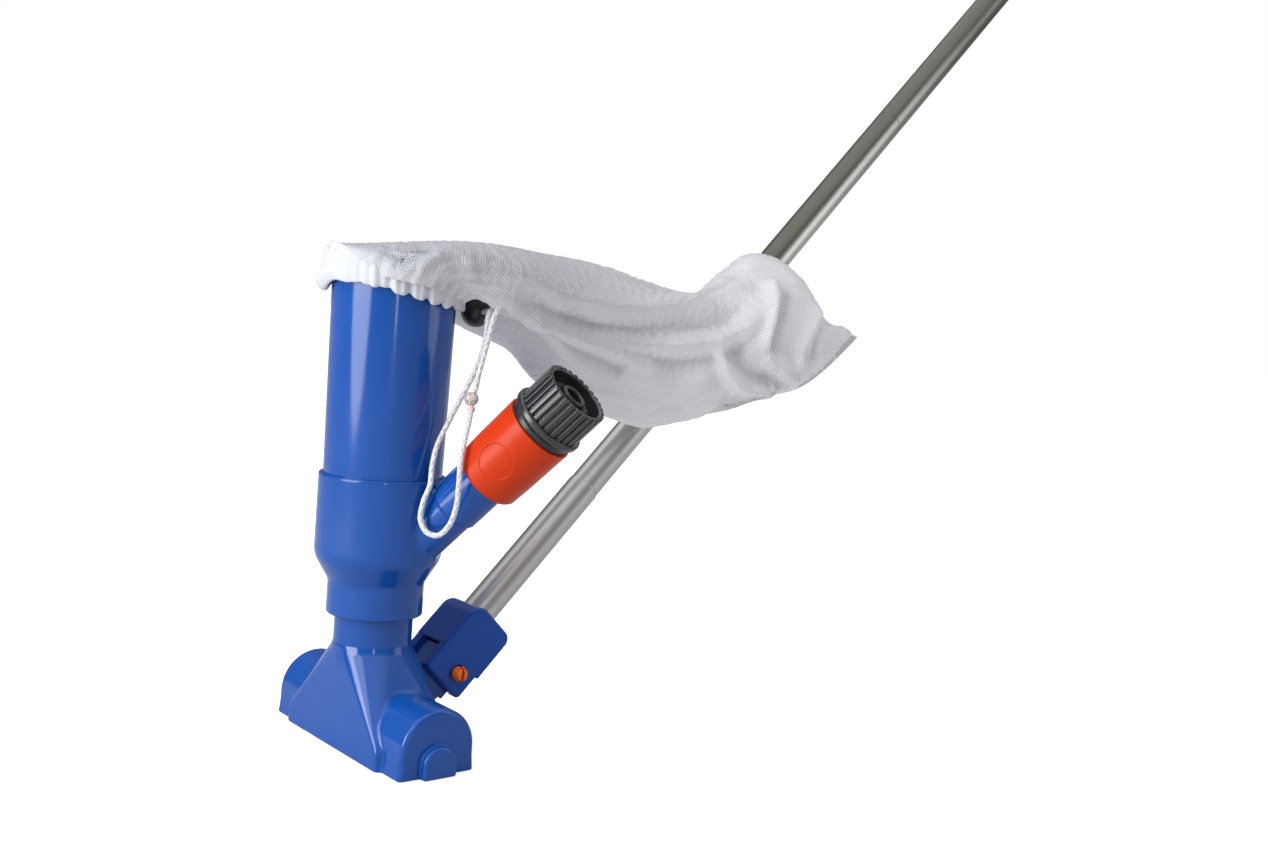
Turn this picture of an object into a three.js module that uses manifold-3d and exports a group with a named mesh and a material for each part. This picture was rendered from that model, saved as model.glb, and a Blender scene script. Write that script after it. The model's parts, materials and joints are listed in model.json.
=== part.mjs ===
// Hose-powered vacuum head for a pool or spa: suction nozzle, venturi body with a quick-connect
// water inlet, discharge tube with a drawstring collection bag, and a hinged sectional pole.
// Units are millimetres and +Z is up. The origin lies on the floor, under the middle of the
// nozzle's front lip. +X runs along the nozzle and +Y points to the pole's side.
import * as THREE from 'three';
import { ConvexGeometry } from 'three/addons/geometries/ConvexGeometry.js';
import { mergeVertices } from 'three/addons/utils/BufferGeometryUtils.js';
import Module from 'manifold-3d';

const wasm = await Module();
wasm.setup();

// ---------------------------------------------------------------- driving dimensions
const GAP = 0.3; // clearance between pieces that touch
const ROUND = 28; // facets round a large circle
const SMALL_ROUND = 14; // facets round a small circle
const MIDDLE_ROUND = 24; // facets round the pole and the connector's inner pieces

const AXIS_TO_LIP = 19.6; // from the tube's axis to the middle of the front lip
const WALL = 3;

const BAR_LENGTH = 125; // nozzle bar, end to end
const BAR_RADIUS = 20; // radius of the bar's arched top
const BAR_SPRING = 12; // height at which the arch starts
const BAR_HALF_WIDTH = 20.85; // at the floor
const BAR_CENTRE_Y = 2.7; // the bar sits a little behind the tube's axis
const BAR_BEVEL = 2.4;
const FUNNEL_HALF_LENGTH = 46;
const FUNNEL_FRONT = -21.1;
const FUNNEL_REAR = 22.5;
const FUNNEL_BASE_TOP = 9;
const NECK_RADIUS = 19.4;
const NECK_START = 50;
const NECK_TOP = 80;
const NECK_BORE = 16.2;
const SEAL_LOW = 72; // the seal's groove round the neck
const SEAL_HIGH = 74.6;
const LUG_WIDTH = 18;
const LUG_HEIGHT = 15;
const LUG_DEPTH = 4;

const COLLAR_BOTTOM = 65.5;
const COLLAR_RADIUS = 23.8;
const COLLAR_TOP = 82;
const BODY_RADIUS = 31.3;
const BODY_BOTTOM = 94.5;
const BODY_TOP = 135.2;
const SOCKET_RADIUS = 29.1; // socket for the discharge tube
const SOCKET_FLOOR = 112;
const MIXING_RADIUS = 25.6;
const JET_COUNT = 4;
const JET_CIRCLE = 22.1;

const BRANCH_AZIMUTH = 26.7; // degrees from +X towards +Y
const BRANCH_RISE = 45.4; // degrees above the floor
const BRANCH_HEIGHT = 80.9; // where the branch's axis meets the tube's axis
const BRANCH_RADIUS = 11.7;
const BRANCH_STEP_RADIUS = 12.8;
const BRANCH_STEP = 60; // distances along the branch's axis from here on
const BRANCH_END = 84;
const BRANCH_BORE = 6.5;
const SLEEVE_START = 82.5;
const SLEEVE_END = 121.2;
const SLEEVE_RADIUS = 18.3;
const SLEEVE_BORE = 16.9;
const THUMB_RADIUS = 8.5; // the round thumb recess in the release sleeve
const THUMB_TURN = 7; // degrees round the sleeve's axis
const NIPPLE_END = 108;
const CORE_RADIUS = 16.3;
const NUT_FLANGE_START = 125;
const NUT_START = 128.6;
const NUT_END = 146.5;
const NUT_RADIUS = 16.4;
const NUT_BORE = 14.4;
const NUT_RIBS = 28;
const BARB_END = 144.3;

const TUBE_RADIUS = 28.3; // at its lower end
const TUBE_TOP_RADIUS = 30.4;
const TUBE_WALL = 2;
const TUBE_BOTTOM = 112.4;
const TUBE_TOP = 243;

const POLE_RISE = 45.4; // degrees above the floor
const POLE_START_Y = 31.1; // a point on the pole's axis, from the tube's axis
const POLE_START_Z = 28;
const HINGE_S = 11.9; // the hinge along the pole's axis and across it
const HINGE_T = 5.4;
const BLOCK_HALF_WIDTH = 14;
const BLOCK_START = 17.5;
const BLOCK_END = 45.5;
const BLOCK_TOP = -12.3; // across the pole's axis, upper face and lower face
const BLOCK_UNDER = 18;
const CHEEK_START = 2.4;
const CHEEK_INNER = 8;
const BRACKET_HALF_WIDTH = 7.6;
const PIN_RADIUS = 3.6;
const PIN_HOLE = 4;
const POLE_RADII = [8.5, 8.1, 8.1, 8.1];
const POLE_WALL = 1;
const POLE_FOOT = 22.3;
const FIRST_JOINT = 137;
const SECTION_LENGTH = 329;
const SPIGOT_LENGTH = 28;

const HEM_BOTTOM = 222;
const HEM_TOP = 232;
const HEM_INNER = 31.2;
const HEM_OUTER = 36.5;
const BAG_WALL = 1.6;
const LOCK_RADIUS = 8;
const LOCK_FLOOR = -6.8; // bottom of the lock's bore, from its centre
const STEM_BOTTOM = -2.2; // bottom of the plunger's stem
const CORD_RADIUS = 1.35;
const BEAD_RADIUS = 3.5;

const radians = THREE.MathUtils.degToRad;

// ---------------------------------------------------------------- solids
// Turns a closed geometry into a manifold-3d solid.
function solid(geometry) {
  const plain = geometry.clone();
  plain.deleteAttribute('normal');
  plain.deleteAttribute('uv');
  const merged = mergeVertices(plain, 1e-4);
  return new wasm.Manifold(
    new wasm.Mesh({
      numProp: 3,
      vertProperties: merged.attributes.position.array,
      triVerts: new Uint32Array(merged.index.array),
    }),
  );
}

// Turns a solid back into a geometry with flat faces.
function geometryOf(body) {
  const mesh = body.getMesh();
  const geometry = new THREE.BufferGeometry();
  geometry.setAttribute('position', new THREE.BufferAttribute(mesh.vertProperties, 3));
  geometry.setIndex(new THREE.BufferAttribute(mesh.triVerts, 1));
  const flat = geometry.toNonIndexed();
  flat.computeVertexNormals();
  return flat;
}

// A solid of revolution about Z from a closed profile of [radius, height] points.
function lathe(points, segments = ROUND) {
  const profile = [...points, points[0]].map(([r, z]) => new THREE.Vector2(r, z));
  return solid(new THREE.LatheGeometry(profile, segments).rotateX(Math.PI / 2));
}

// A plain ring, or a disc when inner is 0.
function ring(inner, outer, low, high, segments = ROUND) {
  return lathe([[inner, low], [outer, low], [outer, high], [inner, high]], segments);
}

function rod(radius, low, high, segments = SMALL_ROUND) {
  const cylinder = new THREE.CylinderGeometry(radius, radius, high - low, segments);
  return solid(cylinder.rotateX(Math.PI / 2).translate(0, 0, (low + high) / 2));
}

function box(x0, x1, y0, y1, z0, z1) {
  const block = new THREE.BoxGeometry(x1 - x0, y1 - y0, z1 - z0);
  return solid(block.translate((x0 + x1) / 2, (y0 + y1) / 2, (z0 + z1) / 2));
}

// A prism along X whose outline is a shape in the Y-Z plane, centred on x = 0.
function prismAlongX(shape, halfWidth, bevel = 0, curveSegments = 8) {
  const geometry = new THREE.ExtrudeGeometry(shape, {
    depth: 2 * (halfWidth - bevel),
    bevelEnabled: bevel > 0,
    bevelThickness: bevel,
    bevelSize: bevel,
    bevelOffset: -bevel,
    bevelSegments: 2,
    curveSegments,
  });
  const across = new THREE.Matrix4().makeBasis(
    new THREE.Vector3(0, 1, 0),
    new THREE.Vector3(0, 0, 1),
    new THREE.Vector3(1, 0, 0),
  );
  return solid(geometry.translate(0, 0, bevel - halfWidth).applyMatrix4(across));
}

function circlePoints(radius, z, count, x = 0, y = 0) {
  return Array.from({ length: count }, (_, i) => {
    const a = (i / count) * 2 * Math.PI;
    return new THREE.Vector3(x + radius * Math.cos(a), y + radius * Math.sin(a), z);
  });
}

function hull(points) {
  return solid(new ConvexGeometry(points));
}

function plastic(colour, roughness = 0.35) {
  return new THREE.MeshStandardMaterial({ color: colour, roughness, metalness: 0 });
}

const BLUE = plastic(0x1f4fb4, 0.3);
const ORANGE = plastic(0xe2521f, 0.35);
const BLACK = plastic(0x1b1c1f, 0.45);
const RUBBER = plastic(0x101112, 0.7);
const GREY = plastic(0x8d9196, 0.5);
const WHITE = plastic(0xe9e9ea, 0.6);
const FABRIC = plastic(0xb9bbc0, 0.9);
const CLEAR = plastic(0xe6e2e0, 0.15);
const STEEL = new THREE.MeshStandardMaterial({ color: 0xb4b7ba, roughness: 0.3, metalness: 1 });
const ALUMINIUM = new THREE.MeshStandardMaterial({ color: 0xa9abac, roughness: 0.35, metalness: 1 });

// ---------------------------------------------------------------- frames
const object = new THREE.Group();
const upright = new THREE.Group(); // origin at the foot of the tube's axis
upright.position.y = AXIS_TO_LIP;
object.add(upright);

const branchFrame = new THREE.Group(); // local +Z runs out along the water inlet
branchFrame.position.z = BRANCH_HEIGHT;
branchFrame.rotation.set(0, radians(90 - BRANCH_RISE), radians(BRANCH_AZIMUTH), 'ZYX');
upright.add(branchFrame);

const poleFrame = new THREE.Group(); // local +Z runs up the pole, local +Y to its underside
poleFrame.position.set(0, POLE_START_Y, POLE_START_Z);
poleFrame.rotation.x = radians(POLE_RISE - 90);
upright.add(poleFrame);

function add(parent, name, body, material) {
  const mesh = new THREE.Mesh(geometryOf(body), material.clone());
  mesh.name = name;
  parent.add(mesh);
}

// Moves a solid made in a local frame into the upright frame.
function placed(body, frame) {
  frame.updateMatrix();
  return body.transform(frame.matrix.elements);
}

// ---------------------------------------------------------------- nozzle
function archShape(inset, bottom) {
  const shape = new THREE.Shape();
  const radius = BAR_RADIUS - inset;
  shape.moveTo(BAR_CENTRE_Y - BAR_HALF_WIDTH + inset, bottom);
  shape.lineTo(BAR_CENTRE_Y + BAR_HALF_WIDTH - inset, bottom);
  shape.lineTo(BAR_CENTRE_Y + radius, BAR_SPRING);
  shape.absarc(BAR_CENTRE_Y, BAR_SPRING, radius, 0, Math.PI, false);
  return shape;
}

function funnelHull(inset, bottom, top) {
  const corner = 3;
  const halfX = FUNNEL_HALF_LENGTH - inset - corner;
  const points = circlePoints(NECK_RADIUS - inset, top, ROUND);
  for (const x of [-halfX, halfX]) {
    for (const y of [FUNNEL_FRONT + inset + corner, FUNNEL_REAR - inset - corner]) {
      points.push(...circlePoints(corner, FUNNEL_BASE_TOP, 12, x, y));
      points.push(...circlePoints(corner, bottom, 12, x, y));
    }
  }
  return hull(points);
}

function endLug(side) {
  const shape = new THREE.Shape();
  const half = LUG_WIDTH / 2;
  shape.moveTo(-half, 0);
  shape.lineTo(half, 0);
  shape.lineTo(half, LUG_HEIGHT - half + 1);
  shape.absellipse(0, LUG_HEIGHT - half + 1, half, half - 1, 0, Math.PI, false);
  const lug = prismAlongX(shape, (LUG_DEPTH + WALL) / 2, 1.2, 8);
  const x = side * (BAR_LENGTH / 2 + (LUG_DEPTH - WALL) / 2);
  return lug.translate(x, BAR_CENTRE_Y - 0.5, 0);
}

// The rib on the nozzle's back that the pole's block straddles, in the pole's frame.
function hingeBracket() {
  const boss = 7;
  const shape = new THREE.Shape();
  shape.moveTo(-9.4, 17);
  shape.lineTo(-9.4, -2);
  shape.lineTo(-4, -22);
  shape.lineTo(6, -22);
  shape.lineTo(HINGE_T + boss, HINGE_S - 3);
  shape.absarc(HINGE_T, HINGE_S, boss, 0, 0.75 * Math.PI, false);
  return placed(prismAlongX(shape, BRACKET_HALF_WIDTH, 0.6, 10), poleFrame);
}

function hingeHole(radius, low, high) {
  const hole = rod(radius, low, high).rotate([0, 90, 0]);
  return placed(hole.translate(0, HINGE_T, HINGE_S), poleFrame);
}

function suctionNozzle() {
  const bar = prismAlongX(archShape(0, -8), BAR_LENGTH / 2, BAR_BEVEL, 12);
  const hollowBar = prismAlongX(archShape(WALL, -20), BAR_LENGTH / 2 - WALL);
  const neck = ring(0, NECK_RADIUS, NECK_START - 2, NECK_TOP).subtract(
    ring(NECK_RADIUS - 1.3, NECK_RADIUS + 2, SEAL_LOW, SEAL_HIGH),
  );
  return bar
    .add(funnelHull(0, -8, NECK_START))
    .add(neck)
    .add(hingeBracket())
    .subtract(hollowBar)
    .subtract(funnelHull(WALL, -20, NECK_START - 1))
    .subtract(rod(NECK_BORE, 5, 100, ROUND))
    .add(endLug(1))
    .add(endLug(-1))
    .subtract(hingeHole(PIN_HOLE, -20, 20))
    .subtract(box(-90, 90, -60, 60, -30, 0));
}

// ---------------------------------------------------------------- venturi body
function branchRib(halfWidth, reach, low, high) {
  return box(-reach, 0, -halfWidth, halfWidth, low, high);
}

function venturiBody() {
  const main = lathe([
    [NECK_RADIUS + 0.4, COLLAR_BOTTOM],
    [COLLAR_RADIUS - 0.8, COLLAR_BOTTOM],
    [COLLAR_RADIUS, COLLAR_BOTTOM + 0.8],
    [COLLAR_RADIUS, COLLAR_TOP],
    [BODY_RADIUS, BODY_BOTTOM],
    [BODY_RADIUS, BODY_TOP - 1],
    [BODY_RADIUS - 1, BODY_TOP],
    [0, BODY_TOP],
    [0, COLLAR_TOP + 6],
    [NECK_RADIUS + 0.4, COLLAR_TOP + 6],
  ]);
  const inside = lathe([
    [0, COLLAR_BOTTOM - 5],
    [NECK_RADIUS + 0.4, COLLAR_BOTTOM - 5],
    [NECK_RADIUS + 0.4, NECK_TOP + 0.5],
    [NECK_BORE, NECK_TOP + 0.5],
    [NECK_BORE, NECK_TOP + 3],
    [MIXING_RADIUS, 98],
    [MIXING_RADIUS, SOCKET_FLOOR],
    [SOCKET_RADIUS, SOCKET_FLOOR],
    [SOCKET_RADIUS, BODY_TOP + 5],
    [0, BODY_TOP + 5],
  ]);
  const branch = lathe([
    [0, 20],
    [BRANCH_RADIUS, 20],
    [BRANCH_RADIUS, BRANCH_STEP - 1.2],
    [BRANCH_STEP_RADIUS - 0.4, BRANCH_STEP],
    [BRANCH_STEP_RADIUS, BRANCH_STEP + 0.8],
    [BRANCH_STEP_RADIUS, BRANCH_END],
    [0, BRANCH_END],
  ]);
  const ribs = branchRib(4, BRANCH_RADIUS + 0.9, 40, BRANCH_STEP).add(
    branchRib(4, BRANCH_STEP_RADIUS + 0.9, BRANCH_STEP, SLEEVE_START - 1),
  );
  return main
    .add(placed(branch.add(ribs), branchFrame))
    .subtract(inside)
    .subtract(placed(rod(BRANCH_BORE, 30, 100), branchFrame));
}

function neckSeal() {
  return ring(NECK_RADIUS - 0.9, NECK_RADIUS + 0.1, SEAL_LOW + GAP, SEAL_HIGH - GAP);
}

function jetRing() {
  let body = lathe([
    [20.6, 101],
    [24, 99.6],
    [MIXING_RADIUS - GAP, 101],
    [MIXING_RADIUS - GAP, 103.4],
    [22.6, 104.6],
    [20.6, 104.6],
  ]);
  for (let i = 0; i < JET_COUNT; i += 1) {
    const hole = rod(1, 95, 108, 12).translate(JET_CIRCLE, 0, 0);
    body = body.subtract(hole.rotate([0, 0, (i / JET_COUNT) * 360 + 45]));
  }
  return body;
}

function dischargeTube() {
  const flare = (TUBE_TOP_RADIUS - TUBE_RADIUS) / (TUBE_TOP - TUBE_BOTTOM);
  const radiusAt = (z) => TUBE_RADIUS + flare * (z - TUBE_BOTTOM);
  return lathe([
    [radiusAt(TUBE_BOTTOM) - TUBE_WALL, TUBE_BOTTOM],
    [radiusAt(TUBE_BOTTOM), TUBE_BOTTOM],
    [radiusAt(TUBE_TOP - 1), TUBE_TOP - 1],
    [radiusAt(TUBE_TOP) - 0.8, TUBE_TOP],
    [radiusAt(TUBE_TOP) - TUBE_WALL, TUBE_TOP],
  ]);
}

// ---------------------------------------------------------------- quick connector
function inletNipple() {
  return lathe([
    [5, BRANCH_END + GAP],
    [11.6, BRANCH_END + GAP],
    [11.6, BRANCH_END + 4],
    [8, BRANCH_END + 5],
    [8, 92],
    [6.9, 92.6],
    [6.9, 95.4],
    [8, 96],
    [8, 100.2],
    [6.8, 100.2],
    [6.8, 102.8],
    [8, 102.8],
    [8, NIPPLE_END - 1],
    [7.2, NIPPLE_END],
    [5, NIPPLE_END],
  ], SMALL_ROUND);
}

function connectorCore() {
  return lathe([
    [8.9, 97],
    [11.6, 97],
    [11.6, 99],
    [CORE_RADIUS, 101],
    [CORE_RADIUS, 123.4],
    [15.4, 124.6],
    [13.4, 124.6],
    [13.4, 134],
    [12.2, 134.6],
    [9.6, 134.6],
    [9.6, 126],
    [6.2, 126],
    [6.2, BARB_END - 3],
    [6.6, BARB_END - 2.6],
    [6, BARB_END],
    [4.9, BARB_END],
    [4.9, 111],
    [8.9, 109.4],
  ], MIDDLE_ROUND);
}

function clawRing() {
  const collar = lathe([
    [8.6, 90],
    [12.4, 90],
    [12.4, 96.6],
    [8.6, 96.6],
    [8.6, 95],
    [7.3, 94.6],
    [7.3, 93.4],
    [8.6, 92.8],
  ], MIDDLE_ROUND);
  const slot = box(-0.8, 0.8, 6, 14, 89, 94.8);
  return [0, 90, 180, 270].reduce((body, turn) => body.subtract(slot.rotate([0, 0, turn])), collar);
}

function releaseSleeve() {
  const shell = lathe([
    [BRANCH_STEP_RADIUS + 1.1, SLEEVE_START],
    [SLEEVE_RADIUS - 2.2, SLEEVE_START],
    [SLEEVE_RADIUS - 0.9, SLEEVE_START + 2],
    [SLEEVE_RADIUS - 0.4, SLEEVE_START + 14],
    [SLEEVE_RADIUS, SLEEVE_END],
    [SLEEVE_BORE, SLEEVE_END],
    [SLEEVE_BORE, 95.5],
    [13.2, 93.5],
    [13.2, 86],
    [BRANCH_STEP_RADIUS + 1.1, 84],
  ]);
  const middle = (SLEEVE_START + SLEEVE_END) / 2 - 2;
  const thumb = rod(THUMB_RADIUS, 10, 25, MIDDLE_ROUND).rotate([90, 0, THUMB_TURN]).translate(0, 0, middle);
  const dish = ring(SLEEVE_RADIUS - 0.9, SLEEVE_RADIUS + 3, SLEEVE_START + 5, SLEEVE_END - 5);
  return shell.subtract(thumb.intersect(dish));
}

function hoseNut() {
  const outline = lathe([
    [NUT_BORE, NUT_FLANGE_START],
    [18.2, NUT_FLANGE_START],
    [19, NUT_FLANGE_START + 0.9],
    [19, NUT_START - 0.9],
    [18.2, NUT_START],
    [NUT_RADIUS, NUT_START],
    [NUT_RADIUS, NUT_END],
    [NUT_BORE, NUT_END],
  ], NUT_RIBS);
  const rib = rod(0.85, NUT_START - 0.5, NUT_END - 0.3, 4).translate(NUT_RADIUS, 0, 0);
  let body = outline;
  for (let i = 0; i < NUT_RIBS; i += 1) {
    body = body.add(rib.rotate([0, 0, (i / NUT_RIBS) * 360]));
  }
  return body;
}

function hoseCollet() {
  const grip = lathe([
    [9.9, 135],
    [13, 135],
    [14, 136],
    [14, 140],
    [11.4, 141.4],
    [9.9, 139],
  ], MIDDLE_ROUND);
  const slot = box(-0.7, 0.7, 6, 16, 136.4, 145);
  return [30, 150, 270].reduce((body, turn) => body.subtract(slot.rotate([0, 0, turn])), grip);
}

// ---------------------------------------------------------------- pole
function blockShape(start, end, top, under, radius) {
  const shape = new THREE.Shape();
  shape.moveTo(top, start);
  shape.lineTo(under, start);
  shape.lineTo(under, end - radius);
  shape.absarc(under - radius, end - radius, radius, 0, Math.PI / 2, false);
  shape.lineTo(top + 2.5, end);
  shape.absarc(top + 2.5, end - 2.5, 2.5, Math.PI / 2, Math.PI, false);
  return shape;
}

function poleBlock() {
  const outline = blockShape(BLOCK_START, BLOCK_END, BLOCK_TOP, BLOCK_UNDER, 5);
  const body = prismAlongX(outline, BLOCK_HALF_WIDTH, 1.2, 5);
  const cheek = new THREE.Shape();
  cheek.moveTo(BLOCK_TOP, BLOCK_START + 6);
  cheek.lineTo(BLOCK_TOP + 0.6, CHEEK_START + 1);
  cheek.lineTo(BLOCK_TOP + 1.6, CHEEK_START);
  cheek.lineTo(BLOCK_UNDER - 4.5, CHEEK_START);
  cheek.absarc(BLOCK_UNDER - 4.5, CHEEK_START + 2.5, 2.5, -Math.PI / 2, 0, false);
  cheek.lineTo(BLOCK_UNDER - 2, BLOCK_START + 6);
  const fork = prismAlongX(cheek, BLOCK_HALF_WIDTH, 0.8, 4).subtract(
    box(-CHEEK_INNER, CHEEK_INNER, -30, 30, -10, BLOCK_START),
  );
  const pin = rod(PIN_HOLE, -20, 20).rotate([0, 90, 0]).translate(0, HINGE_T, HINGE_S);
  const swing = rod(8, -CHEEK_INNER, CHEEK_INNER).rotate([0, 90, 0]).translate(0, HINGE_T, HINGE_S);
  return body
    .add(fork)
    .subtract(swing)
    .subtract(pin)
    .subtract(rod(POLE_RADII[0] + GAP, POLE_FOOT - GAP, BLOCK_END + 5, MIDDLE_ROUND));
}

function hingePin() {
  const reach = BLOCK_HALF_WIDTH;
  const shank = lathe([
    [0, -reach - 2.2],
    [5.4, -reach - 2.2],
    [6, -reach - 1.6],
    [6, -reach - GAP],
    [PIN_RADIUS, -reach - GAP],
    [PIN_RADIUS, reach + GAP],
    [4.5, reach + 0.6],
    [4.3, reach + 2.4],
    [3, reach + 5],
    [0, reach + 5],
  ], SMALL_ROUND);
  const slit = box(-0.7, 0.7, -8, 8, 2, reach + 9);
  return shank.subtract(slit).rotate([0, 90, 0]).rotate([38, 0, 0]).translate(0, HINGE_T, HINGE_S);
}

function poleSection(index) {
  const radius = POLE_RADII[index];
  const bore = radius - POLE_WALL;
  if (index === 0) {
    return ring(bore, radius, POLE_FOOT, FIRST_JOINT, MIDDLE_ROUND);
  }
  const low = FIRST_JOINT + (index - 1) * SECTION_LENGTH + GAP;
  const high = FIRST_JOINT + index * SECTION_LENGTH;
  const spigot = POLE_RADII[index - 1] - POLE_WALL - GAP;
  return lathe([
    [spigot - POLE_WALL, low - SPIGOT_LENGTH],
    [spigot, low - SPIGOT_LENGTH],
    [spigot, low],
    [radius, low],
    [radius, high],
    [bore, high],
    [bore, low + 2],
    [spigot - POLE_WALL, low],
  ], MIDDLE_ROUND);
}

function poleCap() {
  const end = FIRST_JOINT + 3 * SECTION_LENGTH;
  const radius = POLE_RADII[3];
  return lathe([
    [0, end + GAP],
    [radius + GAP, end + GAP],
    [radius + GAP, end - 26],
    [radius + 1.6, end - 26],
    [radius + 1.6, end + 2],
    [radius, end + 3.4],
    [0, end + 3.4],
  ], MIDDLE_ROUND);
}

// ---------------------------------------------------------------- collection bag
// Sections across Y: [y, centre x, centre z, half width, half height].
const BAG_SECTIONS = [
  [-20, 0, 239, 28, 8],
  [25, 0, 241, 36, 8.5],
  [52, 2, 243, 40, 9],
  [78, 5, 229, 37, 25],
  [105, 10, 214, 30, 37],
  [140, 15, 205, 26, 42],
  [185, 21, 204, 27, 38],
  [222, 20, 216, 31, 43],
  [250, 20, 223, 31, 43],
  [276, 26, 218, 22, 32],
  [300, 31, 214, 10, 16],
  [314, 30, 218, 4, 4],
];

function bagLoft(inset) {
  const rings = BAG_SECTIONS.map(([y, x, z, a, b], i) => {
    const end = i === 0 ? inset : i === BAG_SECTIONS.length - 1 ? -inset : 0;
    return Array.from({ length: 20 }, (_, k) => {
      const turn = (k / 20) * 2 * Math.PI;
      const across = (a - inset) * Math.cos(turn);
      const upward = (b - inset) * Math.sin(turn);
      return new THREE.Vector3(x + across, y + end, z + upward);
    });
  });
  const pieces = rings.slice(1).map((next, i) => hull([...rings[i], ...next]));
  return pieces.reduce((whole, piece) => whole.add(piece));
}

function bagCap(inset) {
  const outer = HEM_OUTER - inset;
  return hull([
    ...circlePoints(outer, inset > 0 ? HEM_BOTTOM : HEM_TOP + GAP, ROUND),
    ...circlePoints(outer - 0.5, 240 - inset, ROUND),
    ...circlePoints(outer - 6, 247.5 - inset, ROUND),
  ]);
}

// The space that the pole passes through and leaves as it is lowered, in the pole's frame.
function polePassage() {
  const half = POLE_RADII[1] + 1.2;
  const bore = rod(half, 100, 700, SMALL_ROUND);
  return placed(bore.add(box(-half, half, 0, 400, 100, 700)), poleFrame);
}

function collectionBag() {
  const skin = bagLoft(0).add(bagCap(0));
  const inside = bagLoft(BAG_WALL).add(bagCap(BAG_WALL));
  const cloth = skin
    .subtract(inside)
    .subtract(rod(TUBE_TOP_RADIUS + 0.8, 200, TUBE_TOP + 1, ROUND))
    .subtract(box(-60, 60, -60, 29, 200, HEM_TOP + GAP))
    .subtract(polePassage());
  return cloth.decompose().sort((a, b) => b.volume() - a.volume())[0];
}

function bagHem() {
  return lathe([
    [HEM_INNER, HEM_BOTTOM + 1],
    [HEM_INNER + 1.5, HEM_BOTTOM],
    [HEM_OUTER - 1.5, HEM_BOTTOM],
    [HEM_OUTER, HEM_BOTTOM + 1.5],
    [HEM_OUTER, HEM_TOP - 0.5],
    [HEM_OUTER - 1, HEM_TOP],
    [HEM_INNER, HEM_TOP],
  ]);
}

// ---------------------------------------------------------------- drawstring
const LOCK_CENTRE = new THREE.Vector3(4.6, 45.2, 218.5);
const BEAD_CENTRE = new THREE.Vector3(40.6, 22, 176.8);

// The cord's route, from the lock down round the loop and back up to the bead.
const CORD_ROUTE = [
  [13.4, 44.4, 218.6],
  [22, 41.6, 219.6],
  [29.2, 38, 220],
  [33.2, 34.4, 219.2],
  [35.7, 31.6, 216],
  [36, 30.9, 207],
  [35.6, 29, 197],
  [34.9, 25.2, 186.6],
  [33.3, 20.3, 175.6],
  [31.6, 15.2, 163.6],
  [31.4, 10.4, 153.4],
  [32.8, 7.4, 143.2],
  [35, 5.5, 134.4],
  [35, 2.4, 126.4],
  [35.4, 1.2, 118.2],
  [39.4, 2.6, 112.5],
  [44.4, 5.5, 111.6],
  [50, 7.6, 116.6],
  [55.2, 7.8, 126.5],
  [57, 7.4, 138],
  [56.4, 7.8, 149.4],
  [51.6, 12.6, 159],
  [46, 18, 167.2],
  [42, 21.2, 171.4],
];
const CORD_RETURN = [
  [40.8, 23.8, 182],
  [41.2, 24.6, 188],
  [40.3, 27.2, 196.3],
  [39.6, 30.2, 207],
  [39, 32.8, 216.4],
  [35.8, 38.4, 222.6],
  [30.6, 42.4, 223.2],
  [22.4, 45.6, 222],
  [13.6, 47, 219.4],
];

function cordTube(points) {
  const route = new THREE.CatmullRomCurve3(points.map((p) => new THREE.Vector3(...p)), false, 'centripetal');
  const section = new THREE.Shape().absarc(0, 0, CORD_RADIUS, 0, 2 * Math.PI, false);
  const steps = Math.round(route.getLength() / (5 * CORD_RADIUS));
  const path = { steps, curveSegments: 4, bevelEnabled: false, extrudePath: route };
  return solid(new THREE.ExtrudeGeometry(section, path));
}

function cordLockBody() {
  const ball = solid(new THREE.SphereGeometry(LOCK_RADIUS, 18, 11).rotateX(Math.PI / 2));
  return ball
    .subtract(rod(3.6, LOCK_FLOOR, 20))
    .subtract(rod(3.1, -20, 20).rotate([0, 90, 0]));
}

function cordLockPlunger() {
  const stem = lathe([
    [0, STEM_BOTTOM],
    [3.1, STEM_BOTTOM],
    [3.1, 8.6],
    [4.6, 9.4],
    [4.6, 10.8],
    [3.4, 11.6],
    [0, 11.6],
  ], SMALL_ROUND);
  return stem.subtract(rod(2.2, -20, 20).rotate([0, 90, 0]).translate(0, 0, 1.5));
}

function cordLockSpring() {
  const wire = 0.3;
  const radius = 2;
  const steps = 27; // nine to a turn
  const low = LOCK_FLOOR + GAP + wire;
  const rise = STEM_BOTTOM - GAP - wire - low;
  const points = Array.from({ length: steps + 1 }, (_, i) => {
    const a = (i / 9) * 2 * Math.PI;
    return new THREE.Vector3(radius * Math.cos(a), radius * Math.sin(a), low + (i / steps) * rise);
  });
  const section = new THREE.Shape().absarc(0, 0, wire, 0, 2 * Math.PI, false);
  const path = new THREE.CatmullRomCurve3(points);
  const coil = { steps, curveSegments: 3, bevelEnabled: false, extrudePath: path };
  return solid(new THREE.ExtrudeGeometry(section, coil));
}

const bead = solid(new THREE.SphereGeometry(BEAD_RADIUS, 12, 8).rotateX(Math.PI / 2));

// ---------------------------------------------------------------- the assembly
add(poleFrame, 'pole_block', poleBlock(), BLUE);
add(poleFrame, 'hinge_pin', hingePin(), ORANGE);
POLE_RADII.forEach((_, i) => add(poleFrame, `pole_section_${i + 1}`, poleSection(i), ALUMINIUM));
add(poleFrame, 'pole_cap', poleCap(), BLACK);

add(upright, 'suction_nozzle', suctionNozzle(), BLUE);
add(upright, 'neck_seal', neckSeal(), RUBBER);
add(upright, 'venturi_body', venturiBody(), BLUE);
add(upright, 'jet_ring', jetRing(), GREY);
add(upright, 'discharge_tube', dischargeTube(), BLUE);
add(upright, 'collection_bag', collectionBag(), FABRIC);
add(upright, 'bag_hem', bagHem(), WHITE);

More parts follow.
